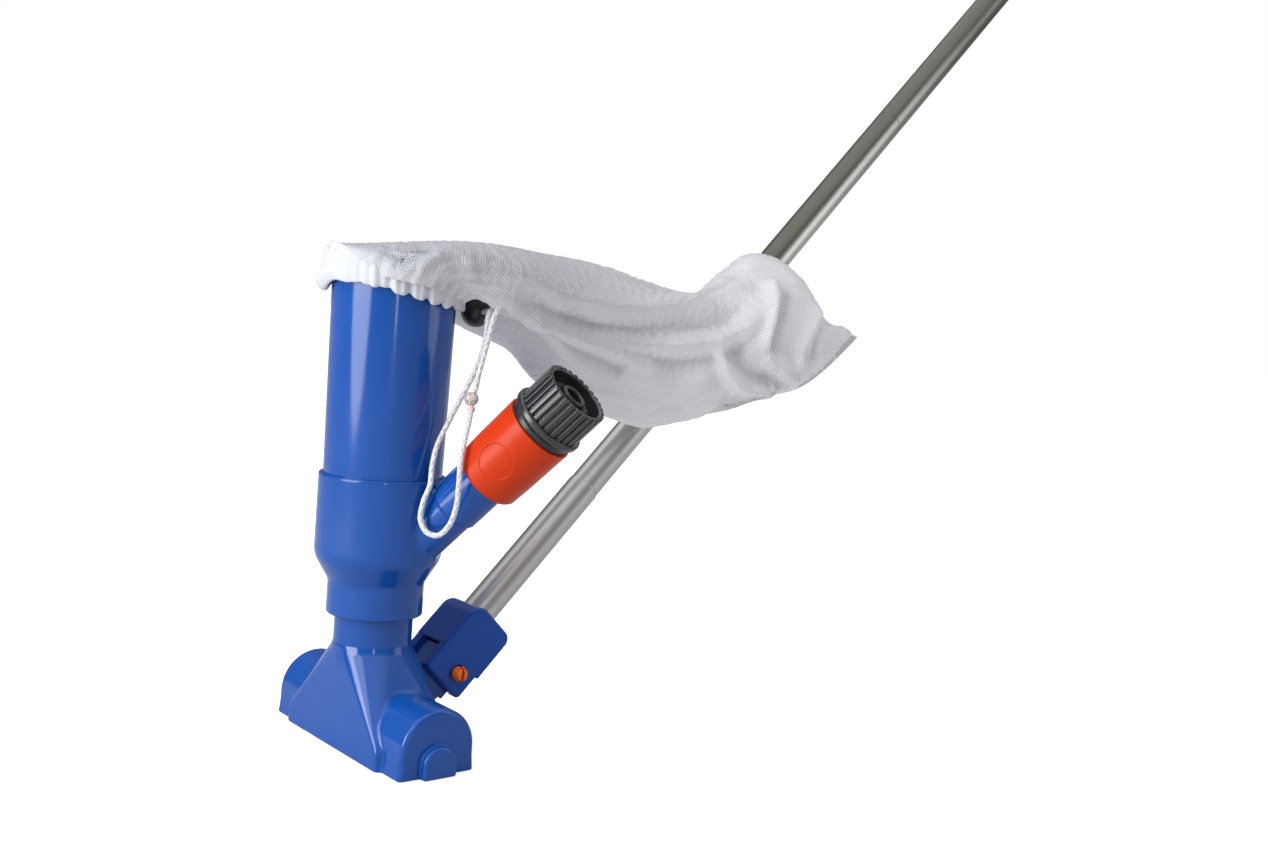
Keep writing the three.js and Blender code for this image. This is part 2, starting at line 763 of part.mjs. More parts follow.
add(branchFrame, 'inlet_nipple', inletNipple(), BLACK);
add(branchFrame, 'nipple_seal', ring(7.1, 8.6, 100.6, 102.4, SMALL_ROUND), RUBBER);
add(branchFrame, 'connector_core', connectorCore(), BLACK);
add(branchFrame, 'claw_ring', clawRing(), WHITE);
add(branchFrame, 'release_sleeve', releaseSleeve(), ORANGE);
add(branchFrame, 'hose_nut', hoseNut(), BLACK);
add(branchFrame, 'hose_collet', hoseCollet(), BLACK);

add(upright, 'drawstring', cordTube(CORD_ROUTE), WHITE);
add(upright, 'drawstring_return', cordTube(CORD_RETURN), WHITE);
add(upright, 'cord_bead', bead.translate(...BEAD_CENTRE.toArray()), CLEAR);
add(upright, 'cord_lock_body', cordLockBody().translate(...LOCK_CENTRE.toArray()), BLACK);
add(upright, 'cord_lock_plunger', cordLockPlunger().translate(...LOCK_CENTRE.toArray()), BLACK);
add(upright, 'cord_lock_spring', cordLockSpring().translate(...LOCK_CENTRE.toArray()), STEEL);

export default object;
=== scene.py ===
# Hose-powered pool vacuum head. The looks are built here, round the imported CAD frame.
# Metres in the row frame; shape helpers work in millimetres in each part's own frame.
import math

import bpy
import numpy as np
from mathutils import Matrix, Vector
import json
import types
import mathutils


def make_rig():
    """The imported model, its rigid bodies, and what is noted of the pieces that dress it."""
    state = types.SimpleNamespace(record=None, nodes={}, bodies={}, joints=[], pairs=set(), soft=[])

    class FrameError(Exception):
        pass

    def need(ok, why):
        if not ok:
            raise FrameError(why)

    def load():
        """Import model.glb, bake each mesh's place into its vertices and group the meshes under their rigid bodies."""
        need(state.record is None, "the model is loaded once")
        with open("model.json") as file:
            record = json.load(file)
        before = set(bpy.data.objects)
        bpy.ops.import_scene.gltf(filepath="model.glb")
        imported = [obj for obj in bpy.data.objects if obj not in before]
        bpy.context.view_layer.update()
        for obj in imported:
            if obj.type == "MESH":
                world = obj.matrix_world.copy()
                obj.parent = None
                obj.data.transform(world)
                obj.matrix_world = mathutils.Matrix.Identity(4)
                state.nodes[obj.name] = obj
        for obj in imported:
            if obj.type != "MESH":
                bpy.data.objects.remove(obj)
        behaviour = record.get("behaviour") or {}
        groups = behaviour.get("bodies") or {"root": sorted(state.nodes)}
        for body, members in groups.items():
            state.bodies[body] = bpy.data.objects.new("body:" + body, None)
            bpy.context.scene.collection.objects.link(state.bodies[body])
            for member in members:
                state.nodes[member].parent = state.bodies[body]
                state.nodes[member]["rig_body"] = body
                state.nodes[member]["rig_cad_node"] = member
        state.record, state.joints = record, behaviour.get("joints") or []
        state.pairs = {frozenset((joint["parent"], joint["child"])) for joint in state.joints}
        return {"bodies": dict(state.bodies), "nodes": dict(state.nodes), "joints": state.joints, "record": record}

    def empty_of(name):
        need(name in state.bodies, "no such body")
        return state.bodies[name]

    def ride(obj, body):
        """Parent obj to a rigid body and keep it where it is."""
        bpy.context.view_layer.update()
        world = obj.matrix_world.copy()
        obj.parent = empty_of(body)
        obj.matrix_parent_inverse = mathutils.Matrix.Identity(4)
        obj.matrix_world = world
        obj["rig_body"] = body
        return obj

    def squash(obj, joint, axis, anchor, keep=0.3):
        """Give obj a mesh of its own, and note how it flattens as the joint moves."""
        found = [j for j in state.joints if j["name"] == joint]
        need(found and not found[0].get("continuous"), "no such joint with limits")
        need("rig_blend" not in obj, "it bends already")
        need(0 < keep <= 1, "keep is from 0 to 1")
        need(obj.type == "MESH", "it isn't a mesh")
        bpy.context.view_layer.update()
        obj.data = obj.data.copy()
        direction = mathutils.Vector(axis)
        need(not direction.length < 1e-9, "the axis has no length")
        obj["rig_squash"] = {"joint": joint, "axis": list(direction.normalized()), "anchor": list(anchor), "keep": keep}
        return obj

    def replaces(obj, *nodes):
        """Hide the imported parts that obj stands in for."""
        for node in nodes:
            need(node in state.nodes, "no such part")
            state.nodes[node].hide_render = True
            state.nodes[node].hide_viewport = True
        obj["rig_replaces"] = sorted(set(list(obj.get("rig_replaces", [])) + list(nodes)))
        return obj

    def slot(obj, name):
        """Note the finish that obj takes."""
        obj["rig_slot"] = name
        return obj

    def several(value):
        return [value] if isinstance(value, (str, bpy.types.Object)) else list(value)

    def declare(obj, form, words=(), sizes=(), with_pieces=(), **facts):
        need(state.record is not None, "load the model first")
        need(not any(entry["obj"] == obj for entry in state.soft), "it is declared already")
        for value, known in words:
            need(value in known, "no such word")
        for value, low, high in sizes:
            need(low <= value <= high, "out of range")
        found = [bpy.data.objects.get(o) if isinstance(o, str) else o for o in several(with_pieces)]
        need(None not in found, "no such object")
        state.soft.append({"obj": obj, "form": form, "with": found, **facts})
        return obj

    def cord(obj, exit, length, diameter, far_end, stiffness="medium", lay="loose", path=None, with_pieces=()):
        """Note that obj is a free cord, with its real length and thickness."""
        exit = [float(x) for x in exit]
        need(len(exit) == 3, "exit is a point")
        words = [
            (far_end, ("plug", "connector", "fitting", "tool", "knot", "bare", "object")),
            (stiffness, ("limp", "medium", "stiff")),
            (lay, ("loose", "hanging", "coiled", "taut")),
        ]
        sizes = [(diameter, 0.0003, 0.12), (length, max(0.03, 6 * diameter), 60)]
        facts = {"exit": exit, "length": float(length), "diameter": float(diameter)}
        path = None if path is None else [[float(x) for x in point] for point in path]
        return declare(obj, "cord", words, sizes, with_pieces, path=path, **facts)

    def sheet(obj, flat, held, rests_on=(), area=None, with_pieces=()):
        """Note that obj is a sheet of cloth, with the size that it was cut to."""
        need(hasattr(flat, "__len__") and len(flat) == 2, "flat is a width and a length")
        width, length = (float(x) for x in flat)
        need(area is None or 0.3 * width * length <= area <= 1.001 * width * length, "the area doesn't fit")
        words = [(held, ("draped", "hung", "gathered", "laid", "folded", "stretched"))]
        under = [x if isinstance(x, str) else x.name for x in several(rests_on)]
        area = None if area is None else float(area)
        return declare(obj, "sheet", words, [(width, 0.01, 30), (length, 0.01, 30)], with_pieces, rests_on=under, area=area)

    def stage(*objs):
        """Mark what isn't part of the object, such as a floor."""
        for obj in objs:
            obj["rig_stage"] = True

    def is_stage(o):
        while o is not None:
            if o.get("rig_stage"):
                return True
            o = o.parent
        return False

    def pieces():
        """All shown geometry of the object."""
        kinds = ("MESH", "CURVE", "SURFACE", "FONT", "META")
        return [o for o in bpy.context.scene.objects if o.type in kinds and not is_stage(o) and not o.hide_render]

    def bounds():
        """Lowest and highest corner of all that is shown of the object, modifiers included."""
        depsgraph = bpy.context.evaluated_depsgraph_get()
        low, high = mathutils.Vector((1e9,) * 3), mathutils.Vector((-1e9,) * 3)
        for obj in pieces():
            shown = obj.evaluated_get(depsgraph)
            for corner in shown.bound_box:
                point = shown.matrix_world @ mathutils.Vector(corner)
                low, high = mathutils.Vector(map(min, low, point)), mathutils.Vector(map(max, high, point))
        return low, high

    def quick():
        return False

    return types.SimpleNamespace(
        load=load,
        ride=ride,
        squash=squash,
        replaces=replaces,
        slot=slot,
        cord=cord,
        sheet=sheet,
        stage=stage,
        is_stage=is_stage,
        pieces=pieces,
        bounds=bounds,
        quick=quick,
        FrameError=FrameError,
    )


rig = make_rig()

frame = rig.load()
CAD_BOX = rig.bounds()
MM = 0.001


def turned(angle, axis):
    return Matrix.Rotation(math.radians(angle), 4, axis)


# Frames. Upright: the tube's axis. Branch: local +Z out along the inlet. Pole: local +Z up the pole,
# local +Y to its underside.
UPRIGHT = Matrix.Translation((0, 0.0196, 0))
BRANCH = UPRIGHT @ Matrix.Translation((0, 0, 0.0809)) @ turned(26.7, "Z") @ turned(44.6, "Y")
POLE = UPRIGHT @ Matrix.Translation((0, 0.0311, 0.028)) @ turned(-44.6, "X")


# ---- materials
class Nodes:
    """The node tree of a new material, or of a world, with short ways to add nodes and links."""

    def __init__(self, name, world=None):
        self.material = world or bpy.data.materials.new(name)
        self.material.use_nodes = True
        self.tree = self.material.node_tree
        self.shader = self.tree.nodes.get("Principled BSDF")

    def add(self, kind, inputs=None, **settings):
        node = self.tree.nodes.new(kind)
        for key, value in settings.items():
            setattr(node, key, value)
        for key, value in (inputs or {}).items():
            self.put(node.inputs[key], value)
        return node

    def put(self, socket, value):
        if isinstance(value, bpy.types.NodeSocket):
            self.tree.links.new(value, socket)
        else:
            socket.default_value = value

    def set(self, **values):
        for key, value in values.items():
            self.put(self.shader.inputs[key.replace("_", " ")], value)

    def place(self, scale=(1, 1, 1), rotation=(0, 0, 0)):
        coordinate = self.add("ShaderNodeTexCoord")
        inputs = {"Vector": coordinate.outputs["Object"], "Scale": scale, "Rotation": rotation}
        return self.add("ShaderNodeMapping", inputs).outputs[0]

    def noise(self, vector, scale, detail=3.0, roughness=0.5):
        inputs = {"Vector": vector, "Scale": scale, "Detail": detail, "Roughness": roughness}
        return self.add("ShaderNodeTexNoise", inputs).outputs["Fac"]

    def maths(self, operation, a, b=0.0, clamp=False):
        return self.add("ShaderNodeMath", {0: a, 1: b}, operation=operation, use_clamp=clamp).outputs[0]

    def times(self, a, b, clamp=False):
        return self.maths("MULTIPLY", a, b, clamp)

    def plus(self, a, b, clamp=False):
        return self.maths("ADD", a, b, clamp)

    def parts(self, vector):
        return self.add("ShaderNodeSeparateXYZ", {0: vector}).outputs

    def uv(self, name):
        return self.parts(self.add("ShaderNodeUVMap", uv_map=name).outputs[0])

    def spread(self, value, low, high, start=0.0, end=1.0):
        inputs = {"Value": value, "From Min": start, "From Max": end, "To Min": low, "To Max": high}
        return self.add("ShaderNodeMapRange", inputs).outputs[0]

    def mix(self, share, a, b):
        node = self.add("ShaderNodeMix", data_type="RGBA")
        for socket, value in ((node.inputs[0], share), (node.inputs[6], a), (node.inputs[7], b)):
            self.put(socket, value)
        return node.outputs[2]

    def bump(self, height, distance, strength=1.0):
        inputs = {"Height": height, "Distance": distance, "Strength": strength}
        self.put(self.shader.inputs["Normal"], self.add("ShaderNodeBump", inputs).outputs[0])


def shade(colour, factor):
    return tuple(min(1.0, c * factor) for c in colour) + (1.0,)


def plastic(name, colour, gloss=0.28, coat=0.0, grain=0.00002, specks=True, shine=0.4):
    """Moulded plastic: slight cloudiness of colour, uneven gloss, a soft grain and a few dust specks."""
    m = Nodes(name)
    at = m.place()
    cloud = m.noise(at, 22.0, 2.0)
    fine = m.noise(at, 900.0, 4.0)
    scuff = m.spread(m.noise(m.place((1, 1, 0.25)), 140.0, 6.0, 0.7), 0, 1, 0.55, 0.8)
    base = m.mix(cloud, shade(colour, 0.9), shade(colour, 1.1))
    if specks:
        dots = m.add("ShaderNodeTexVoronoi", {"Vector": at, "Scale": 110.0}, feature="F1").outputs
        spot = m.spread(dots["Distance"], 1, 0, 0.0, 0.035)
        spot = m.times(m.times(spot, 0.5, clamp=True), scuff)
        base = m.mix(spot, base, (0.8, 0.85, 0.9, 1))
    m.set(Base_Color=base, Coat_Weight=coat, Coat_Roughness=0.12, Specular_IOR_Level=shine)
    m.set(Roughness=m.plus(gloss, m.times(scuff, 0.09)))
    m.bump(m.plus(m.times(cloud, 2.0), fine), grain)
    return m.material


def aluminium(name, tint):
    """Drawn tube: long fine streaks, a satin anodised film that is worn in places, and painted shade on its upper side
    and towards its top end.
    """
    m = Nodes(name)
    streak = m.noise(m.place((1, 1, 0.012)), 330.0, 1.0)
    band = m.noise(m.place((1, 1, 0.06)), 60.0, 2.0)
    worn = m.spread(m.noise(m.place((1, 1, 0.5)), 30.0, 2.0), 0, 1, 0.5, 0.78)
    at = m.parts(m.place())
    # Painted shade: darker on the upper side from 0.23 m along the pole, and all round towards its top end.
    upper = m.plus(m.times(at[0], 31.0), m.times(at[1], -116.0))
    painted_pole_shade = m.times(m.spread(upper, 0, 1, 0.4, 0.72), m.spread(at[2], 0, 1, 0.23, 0.31))
    painted_pole_shade = m.maths("MAXIMUM", painted_pole_shade, m.spread(at[2], 0, 0.9, 0.36, 0.56))
    base = m.mix(m.spread(streak, 0.2, 0.8, 0.3, 0.7), shade(tint, 0.96), shade(tint, 1.04))
    base = m.mix(m.times(worn, 0.12), base, shade(tint, 0.7))
    base = m.mix(m.times(painted_pole_shade, 0.92), base, (0.085, 0.083, 0.07, 1))
    m.set(Base_Color=base, Metallic=1.0)
    m.set(Roughness=m.plus(m.spread(band, 0.30, 0.36, 0.3, 0.7), m.times(streak, 0.04)))
    m.bump(band, 0.000003)
    return m.material


blue = plastic("blue_plastic", (0.005, 0.061, 0.295), 0.12, 0.0, 0.000012)
orange = plastic("orange_plastic", (0.50, 0.031, 0.001), 0.3, 0.0, 0.00003, shine=0.2)
pin_orange = plastic("pin_plastic", (0.75, 0.13, 0.01), 0.3)
block_blue = plastic("block_plastic", (0.003, 0.052, 0.30), 0.16, shine=0.25)
black = plastic("black_plastic", (0.017, 0.018, 0.021), 0.3, 0.1, 0.00004)
dark_grey = plastic("nut_plastic", (0.022, 0.023, 0.026), 0.24, 0.35, 0.00003)
grey = plastic("grey_plastic", (0.25, 0.26, 0.27), 0.4)
white = plastic("white_plastic", (0.72, 0.72, 0.70), 0.4)
rubber = plastic("seal_rubber", (0.012, 0.012, 0.012), 0.6, 0.0, 0.00005)
tube_metal = aluminium("pole_tube", (0.5, 0.495, 0.48))


def steel():
    m = Nodes("spring_steel")
    wear = m.noise(m.place(), 400.0)
    m.set(Base_Color=m.mix(wear, (0.4, 0.4, 0.41, 1), (0.6, 0.6, 0.6, 1)), Metallic=1.0, Roughness=0.3)
    return m.material


def clear_bead():
    """Clear, faintly pink plastic with tiny bubbles."""
    m = Nodes("bead_plastic")
    cloud = m.noise(m.place(), 260.0)
    m.set(Base_Color=m.mix(cloud, (0.92, 0.80, 0.78, 1), (0.95, 0.92, 0.9, 1)), Roughness=0.12)
    m.set(Transmission_Weight=0.8, IOR=1.45, Coat_Weight=0.6)
    m.bump(cloud, 0.0001)
    return m.material


# ---- pieces
def add_object(name, data):
    obj = bpy.data.objects.new(name, data)
    bpy.context.scene.collection.objects.link(obj)
    return obj


def new_mesh(name, points, faces):
    mesh = bpy.data.meshes.new(name)
    mesh.from_pydata(points.tolist(), [], faces if isinstance(faces, list) else faces.tolist())
    return mesh


def points_of(obj):
    return np.array([v.co for v in obj.data.vertices])


def unit(v, least=1e-6):
    return v / np.maximum(np.linalg.norm(v, axis=-1), least)[..., None]


def piece(
    name, verts, faces, material, replaces=(), place=UPRIGHT, body="nozzle", slot=None, normals=None, sharp=32
):
    """A mesh piece, its points in millimetres in the frame `place`. Its slot is the material's, if not given."""
    mesh = new_mesh(name, np.asarray(verts, float) * MM, faces)
    mesh.validate()
    obj = add_object(name, mesh)
    mesh.polygons.foreach_set("use_smooth", [True] * len(mesh.polygons))
    if normals is not None:
        mesh.normals_split_custom_set_from_vertices(normals.tolist())
    elif sharp:
        mesh.set_sharp_from_angle(angle=math.radians(sharp))
        weighted = obj.modifiers.new("normals", "WEIGHTED_NORMAL")
        weighted.keep_sharp = True
    obj.matrix_world = place
    mesh.materials.append(material)
    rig.slot(obj, slot or material.name.split(".")[0])
    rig.ride(obj, body)
    if replaces:
        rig.replaces(obj, *replaces)
    return obj


def rounded(points, steps=4):
    """A closed (radius, height, fillet) profile with each corner turned into an arc."""
    out = []
    flat = [(Vector(p[:2]), p[2] if len(p) > 2 else 0.0) for p in points]
    for i, (here, fillet) in enumerate(flat):
        before, after = flat[i - 1][0], flat[(i + 1) % len(flat)][0]
        if fillet <= 0:
            out.append(here)
            continue
        a, b = (before - here).normalized(), (after - here).normalized()
        half = a.angle(b) / 2
        reach = min(fillet / math.tan(half), (before - here).length / 2.05, (after - here).length / 2.05)
        radius = reach * math.tan(half)
        centre = here + (a + b).normalized() * (radius / math.sin(half))
        start, end = here + a * reach - centre, here + b * reach - centre
        for k in range(steps + 1):
            out.append(centre + start.slerp(end, k / steps))
    return out


def lathe(points, segments=96, closed=True):
    """Turns a profile about Z. A profile that starts and ends on the axis is left open."""
    profile = rounded(points) if closed else [Vector(p[:2]) for p in points]
    count = len(profile)
    turn = [math.tau * k / segments for k in range(segments)]
    verts = [(p[0] * math.cos(a), p[0] * math.sin(a), p[1]) for a in turn for p in profile]
    faces = []
    for k in range(segments):
        here, there = k * count, (k + 1) % segments * count
        for i in range(count if closed else count - 1):
            j = (i + 1) % count
            faces.append((here + i, there + i, there + j, here + j))
    return verts, faces


# ---- smooth solids from distance fields
def both(a, b, fillet=0.0):
    """Intersection of two fields, its outer edge rounded."""
    if fillet <= 0:
        return np.maximum(a, b)
    corner = np.hypot(np.maximum(a + fillet, 0), np.maximum(b + fillet, 0))
    return np.minimum(-fillet, np.maximum(a, b)) + corner


def either(a, b, fillet=0.0):
    """Union of two fields, its inner edge filled."""
    return -both(-a, -b, fillet)


def less(a, b, fillet=0.0):
    return both(a, -b, fillet)


def polar(p):
    """Height along Z, and distance from it."""
    return p[:, 2], np.hypot(p[:, 0], p[:, 1])


def polygon(u, v, points):
    """Distance to a closed outline in the u-v plane, negative inside."""
    best = np.full(u.shape, 1e9)
    inside = np.zeros(u.shape, bool)
    for (ax, ay), (bx, by) in zip(points, points[1:] + points[:1]):
        ex, ey = bx - ax, by - ay
        share = np.clip(((u - ax) * ex + (v - ay) * ey) / (ex * ex + ey * ey), 0, 1)
        best = np.minimum(best, np.hypot(u - ax - ex * share, v - ay - ey * share))
        if ey != 0:
            crosses = (ay > v) != (by > v)
            inside ^= crosses & (u < ax + (v - ay) * ex / ey)
    return np.where(inside, -best, best)


def slopes(field, p, reach=0.12):
    return np.stack([field(p + s) - field(p - s) for s in np.eye(3) * reach], -1) / (2 * reach)


def solid(field, low, high, step):
    """Quads on the zero level of a distance field (surface nets), pulled onto it, with its normals.

    The surface has to lie inside the box, clear of its border.
    """
    low, high = np.array(low, float), np.array(high, float)
    blocks = np.ceil((high - low) / (4 * step)).astype(int)
    centre = np.stack(np.meshgrid(*[np.arange(n) * 4 + 1.5 for n in blocks], indexing="ij"), -1)
    coarse = field(low + step * centre.reshape(-1, 3)).reshape(blocks)
    values = coarse.repeat(4, 0).repeat(4, 1).repeat(4, 2)
    near = np.abs(values) < 5 * step
    values[near] = field(low + step * np.argwhere(near))
    inside = values < 0
    corners = inside.astype(np.int8)
    corners = corners[1:] + corners[:-1]
    corners = corners[:, 1:] + corners[:, :-1]
    corners = corners[:, :, 1:] + corners[:, :, :-1]
    active = (corners > 0) & (corners < 8)
    number = np.full(active.shape, -1)
    number[active] = np.arange(active.sum())
    start = low + step * (np.argwhere(active) + 0.5)
    quads = []
    for axis in range(3):
        other = [a for a in range(3) if a != axis]
        a = np.moveaxis(inside, axis, 0)
        at = np.argwhere(np.moveaxis(a[1:] != a[:-1], 0, axis))
        ring = []
        for da, db in ((-1, -1), (0, -1), (0, 0), (-1, 0)):
            cell = at.copy()
            cell[:, other[0]] += da
            cell[:, other[1]] += db
            ring.append(number[tuple(cell.T)])
        quads.append(np.stack(ring, -1))
    quads = np.concatenate(quads)
    p = start.copy()

    def pull(p, times):
        for _ in range(times):
            g = slopes(field, p)
            p = p - g * (field(p) / np.maximum((g * g).sum(-1), 0.2))[:, None]
            p = start + np.clip(p - start, -1.2 * step, 1.2 * step)
        return p

    p = pull(p, 3)
    edges = np.concatenate([quads[:, [k, (k + 1) % 4]] for k in range(4)])
    for _ in range(2):
        total, count = np.zeros_like(p), np.zeros(len(p))
        np.add.at(total, edges[:, 0], p[edges[:, 1]])
        np.add.at(count, edges[:, 0], 1)
        p = pull(0.5 * p + 0.5 * total / np.maximum(count, 1)[:, None], 1)
    p = pull(p, 1)
    g = slopes(field, p, 0.25)
    normals = unit(g)
    facing = np.cross(p[quads[:, 2]] - p[quads[:, 0]], p[quads[:, 3]] - p[quads[:, 1]])
    inward = (facing * normals[quads].sum(1)).sum(-1) < 0
    quads[inward] = quads[inward][:, ::-1]
    return p, quads, normals


def field_piece(name, field, low, high, step, material, replaces=(), **where):
    """A piece made from the zero level of a distance field."""
    verts, quads, normals = solid(field, low, high, step)
    return piece(name, verts, quads, material, replaces, normals=normals, **where)


def box_round(centre, half):
    """Low and high corners of a cube."""
    return np.array(centre) - half, np.array(centre) + half


def in_frame(p, place, origin=UPRIGHT):
    """Upright-frame points, in millimetres, as seen in another frame."""
    to = np.array(place.inverted() @ origin)
    return p @ to[:3, :3].T + to[:3, 3] / MM


# ---- camera
RIGHT, UP, BACK = (0.64409, 0.76089, 0.07875), (-0.11131, -0.00863, 0.99375), (0.75681, -0.64883, 0.07913)
lens = bpy.data.cameras.new("camera")
lens.lens, lens.sensor_width, lens.clip_start = 39.09, 36.0, 0.01
camera = add_object("camera", lens)
aim = Matrix((RIGHT, UP, BACK)).transposed().to_4x4()
camera.matrix_world = Matrix.Translation((0.59425, -0.32907, 0.2242)) @ aim
bpy.context.scene.camera = camera


# ---- drawstring
LOCK = Vector((4.6, 45.2, 218.5))  # centre of the cord lock, upright frame
BEAD = Vector((40.6, 22.0, 176.8))
CORD_RADIUS, CORD_SIDES = 1.35, 14
ROUTE = [
    (9.0, 44.8, 218.5), (13.4, 44.4, 218.6), (22, 41.6, 219.6), (29.2, 38, 220), (33.2, 34.4, 219.2),
    (35.7, 31.6, 216), (36, 30.9, 207), (35.6, 29, 197), (34.9, 25.2, 186.6), (33.3, 20.3, 175.6),
    (31.6, 15.2, 163.6), (31.4, 10.4, 153.4), (32.8, 7.4, 143.2), (35, 5.5, 134.4), (35, 2.4, 126.4),
    (35.4, 1.2, 118.2), (39.4, 2.6, 112.5), (44.4, 5.5, 111.6), (50, 7.6, 116.6), (55.2, 7.8, 126.5),
    (57, 7.4, 138), (56.4, 7.8, 149.4), (51.6, 12.6, 159), (46, 18, 167.2), (42, 21.2, 171.4),
    (40.9, 21.9, 175.0),
]
RETURN = [
    (40.6, 22.6, 178.6), (40.8, 23.8, 182), (41.2, 24.6, 188), (40.3, 27.2, 196.3), (39.6, 30.2, 207),
    (39, 32.8, 216.4), (35.8, 38.4, 222.6), (30.6, 42.4, 223.2), (22.4, 45.6, 222), (13.6, 47, 219.4),
    (9.2, 46.4, 218.9),
]


def run_along(p):
    """Distance along a line to each of its points."""
    return np.concatenate([[0], np.cumsum(np.linalg.norm(np.diff(p, axis=0), axis=-1))])


def even(p, count, closed=False):
    """The same line along the first axis, with evenly spaced points."""
    whole = np.concatenate([p, p[:1]]) if closed else p
    run = run_along(whole)
    marks = np.linspace(0, run[-1], count + closed)[:count]
    return np.stack([np.interp(marks, run, whole[:, k]) for k in range(3)], -1)


def smooth_path(points, spacing):
    """Points a fixed distance apart on a centripetal Catmull-Rom curve."""
    p = np.array(points, float)
    p = np.vstack([2 * p[0] - p[1], p, 2 * p[-1] - p[-2]])
    knots = np.concatenate([[0], np.cumsum(np.sqrt(np.linalg.norm(np.diff(p, axis=0), axis=1)))])
    fine = []
    for i in range(1, len(p) - 2):
        t = np.linspace(knots[i], knots[i + 1], 40, endpoint=False)[:, None]

        def blend(a, b, ta, tb):
            return ((tb - t) * a + (t - ta) * b) / (tb - ta)

        k = knots[i - 1 : i + 3]
        a1, a2, a3 = (blend(p[i - 1 + n], p[i + n], k[n], k[n + 1]) for n in range(3))
        b1, b2 = blend(a1, a2, k[0], k[2]), blend(a2, a3, k[1], k[3])
        fine.append(blend(b1, b2, k[1], k[2]))
    fine = np.vstack(fine + [p[-2:-1]])
    length = run_along(fine)[-1]
    return even(fine, int(length / spacing) + 2), length


FLIPPED = [0, 3, 2, 1]  # the same quads, facing the other way


def grid_faces(rows, around, closed=False):
    """Quads over a grid that closes round, and if `closed` from its last row to its first as well."""
    i, j = np.meshgrid(np.arange(rows - 1 + closed), np.arange(around), indexing="ij")
    n, m = (i + 1) % rows, (j + 1) % around
    return np.stack([i * around + j, n * around + j, n * around + m, i * around + m], -1).reshape(-1, 4)


def grid_map(obj, name, run, turn, order=(0, 1, 2, 3)):
    """A UV layer over a grid's quads, from the length along at each row and the turn at each column."""
    i, j = np.meshgrid(np.arange(len(run) - 1), np.arange(len(turn) - 1), indexing="ij")
    corners = [(turn[j], run[i]), (turn[j], run[i + 1]), (turn[j + 1], run[i + 1]), (turn[j + 1], run[i])]
    uv = np.moveaxis(np.array(corners, float), (0, 1), (2, 3))[:, :, list(order)].ravel()
    layer = obj.data.uv_layers.new(name=name)
    layer.data.foreach_set("uv", np.pad(uv, (0, 2 * len(obj.data.loops) - len(uv))))


def tube_mesh(path, radius, sides):
    """A capped tube round a path."""
    verts = []
    tangent = unit(np.gradient(path, axis=0))
    normal = np.cross(tangent[0], (0.3, 0.5, 0.8))
    turn = math.tau * np.arange(sides)[:, None] / sides
    for here, t in zip(path, tangent):
        normal = unit(normal - t * normal.dot(t))
        verts.append(here + radius * (np.cos(turn) * normal + np.sin(turn) * np.cross(t, normal)))
    last = (len(path) - 1) * sides
    caps = [tuple(range(sides - 1, -1, -1)), tuple(range(last, last + sides))]
    return np.concatenate(verts), grid_faces(len(path), sides)[:, FLIPPED].tolist() + caps


def braid(name, colour, pitch):
    """Braided cord: two sets of strands wound against each other, along the mesh's own length."""
    m = Nodes(name)
    uv = m.uv("along")
    run = m.times(uv[1], math.tau / pitch)
    turn = m.times(uv[0], math.tau * 4)
    one = m.maths("SINE", m.plus(run, turn))
    two = m.maths("SINE", m.maths("SUBTRACT", run, turn))
    weave = m.maths("MAXIMUM", one, two)
    fuzz = m.noise(m.place(), 2600.0, 2.0)
    height = m.spread(weave, 0, 1, -0.2, 1)
    base = m.mix(m.times(height, 0.9, clamp=True), shade(colour, 0.62), shade(colour, 1.0))
    m.set(Base_Color=m.mix(m.times(fuzz, 0.3), base, shade(colour, 0.85)), Roughness=0.7)
    m.set(Sheen_Weight=0.3, Sheen_Roughness=0.4)
    m.bump(m.plus(height, m.times(fuzz, 0.25)), 0.00035)
    return m.material


cord_white = braid("cord_fabric", (0.80, 0.81, 0.84), 0.0042)


def make_cord(name, points):
    path, length = smooth_path(points, 0.7)
    obj = piece(name, *tube_mesh(path, CORD_RADIUS, CORD_SIDES), cord_white, [name.removesuffix("_braid")], sharp=0)
    grid_map(obj, "along", run_along(path) * MM, np.arange(CORD_SIDES + 1) / CORD_SIDES, FLIPPED)
    at = np.array(UPRIGHT)
    return obj, (path * MM) @ at[:3, :3].T + at[:3, 3], length * MM


def ball(radius, hole, centre, axis=(0, 0, 1), squeeze=1.0):
    """A sphere with a hole through it, as a distance field."""
    c, a = np.array(centre), np.array(axis, float) / np.linalg.norm(axis)

    def field(p):
        q = p - c
        run = q @ a
        across = np.sqrt(np.maximum((q * q).sum(-1) - run**2, 0))
        return less(np.hypot(across, run / squeeze) - radius, across - hole, 0.3)

    return field


bead_field = ball(3.5, 1.3, BEAD, (0.0, 0.12, 1.0))
bead = field_piece("bead", bead_field, *box_round(BEAD, 4), 0.22, clear_bead(), ["cord_bead"])
knot_at = Vector((41.6, 21.4, 171.9))
knot_field = ball(2.1, 0.0, knot_at, (0.4, -0.5, -0.8), 0.9)
knot_thread = plastic("knot_thread", (0.74, 0.5, 0.47), 0.6, 0.0, 0.0002, False)
knot = field_piece("bead_knot", knot_field, *box_round(knot_at, 3), 0.25, knot_thread, slot="cord_fabric")
string, string_path, string_length = make_cord("drawstring_braid", ROUTE)
back, back_path, back_length = make_cord("drawstring_return_braid", RETURN)


# ---- suction nozzle
BAR_MIDDLE, BAR_SPRING, BAR_RADIUS, BAR_HALF = 2.7, 12, 20, 62.5  # the arch's centre is BAR_SPRING high
NECK_RADIUS, NECK_BORE = 19.4, 16.2


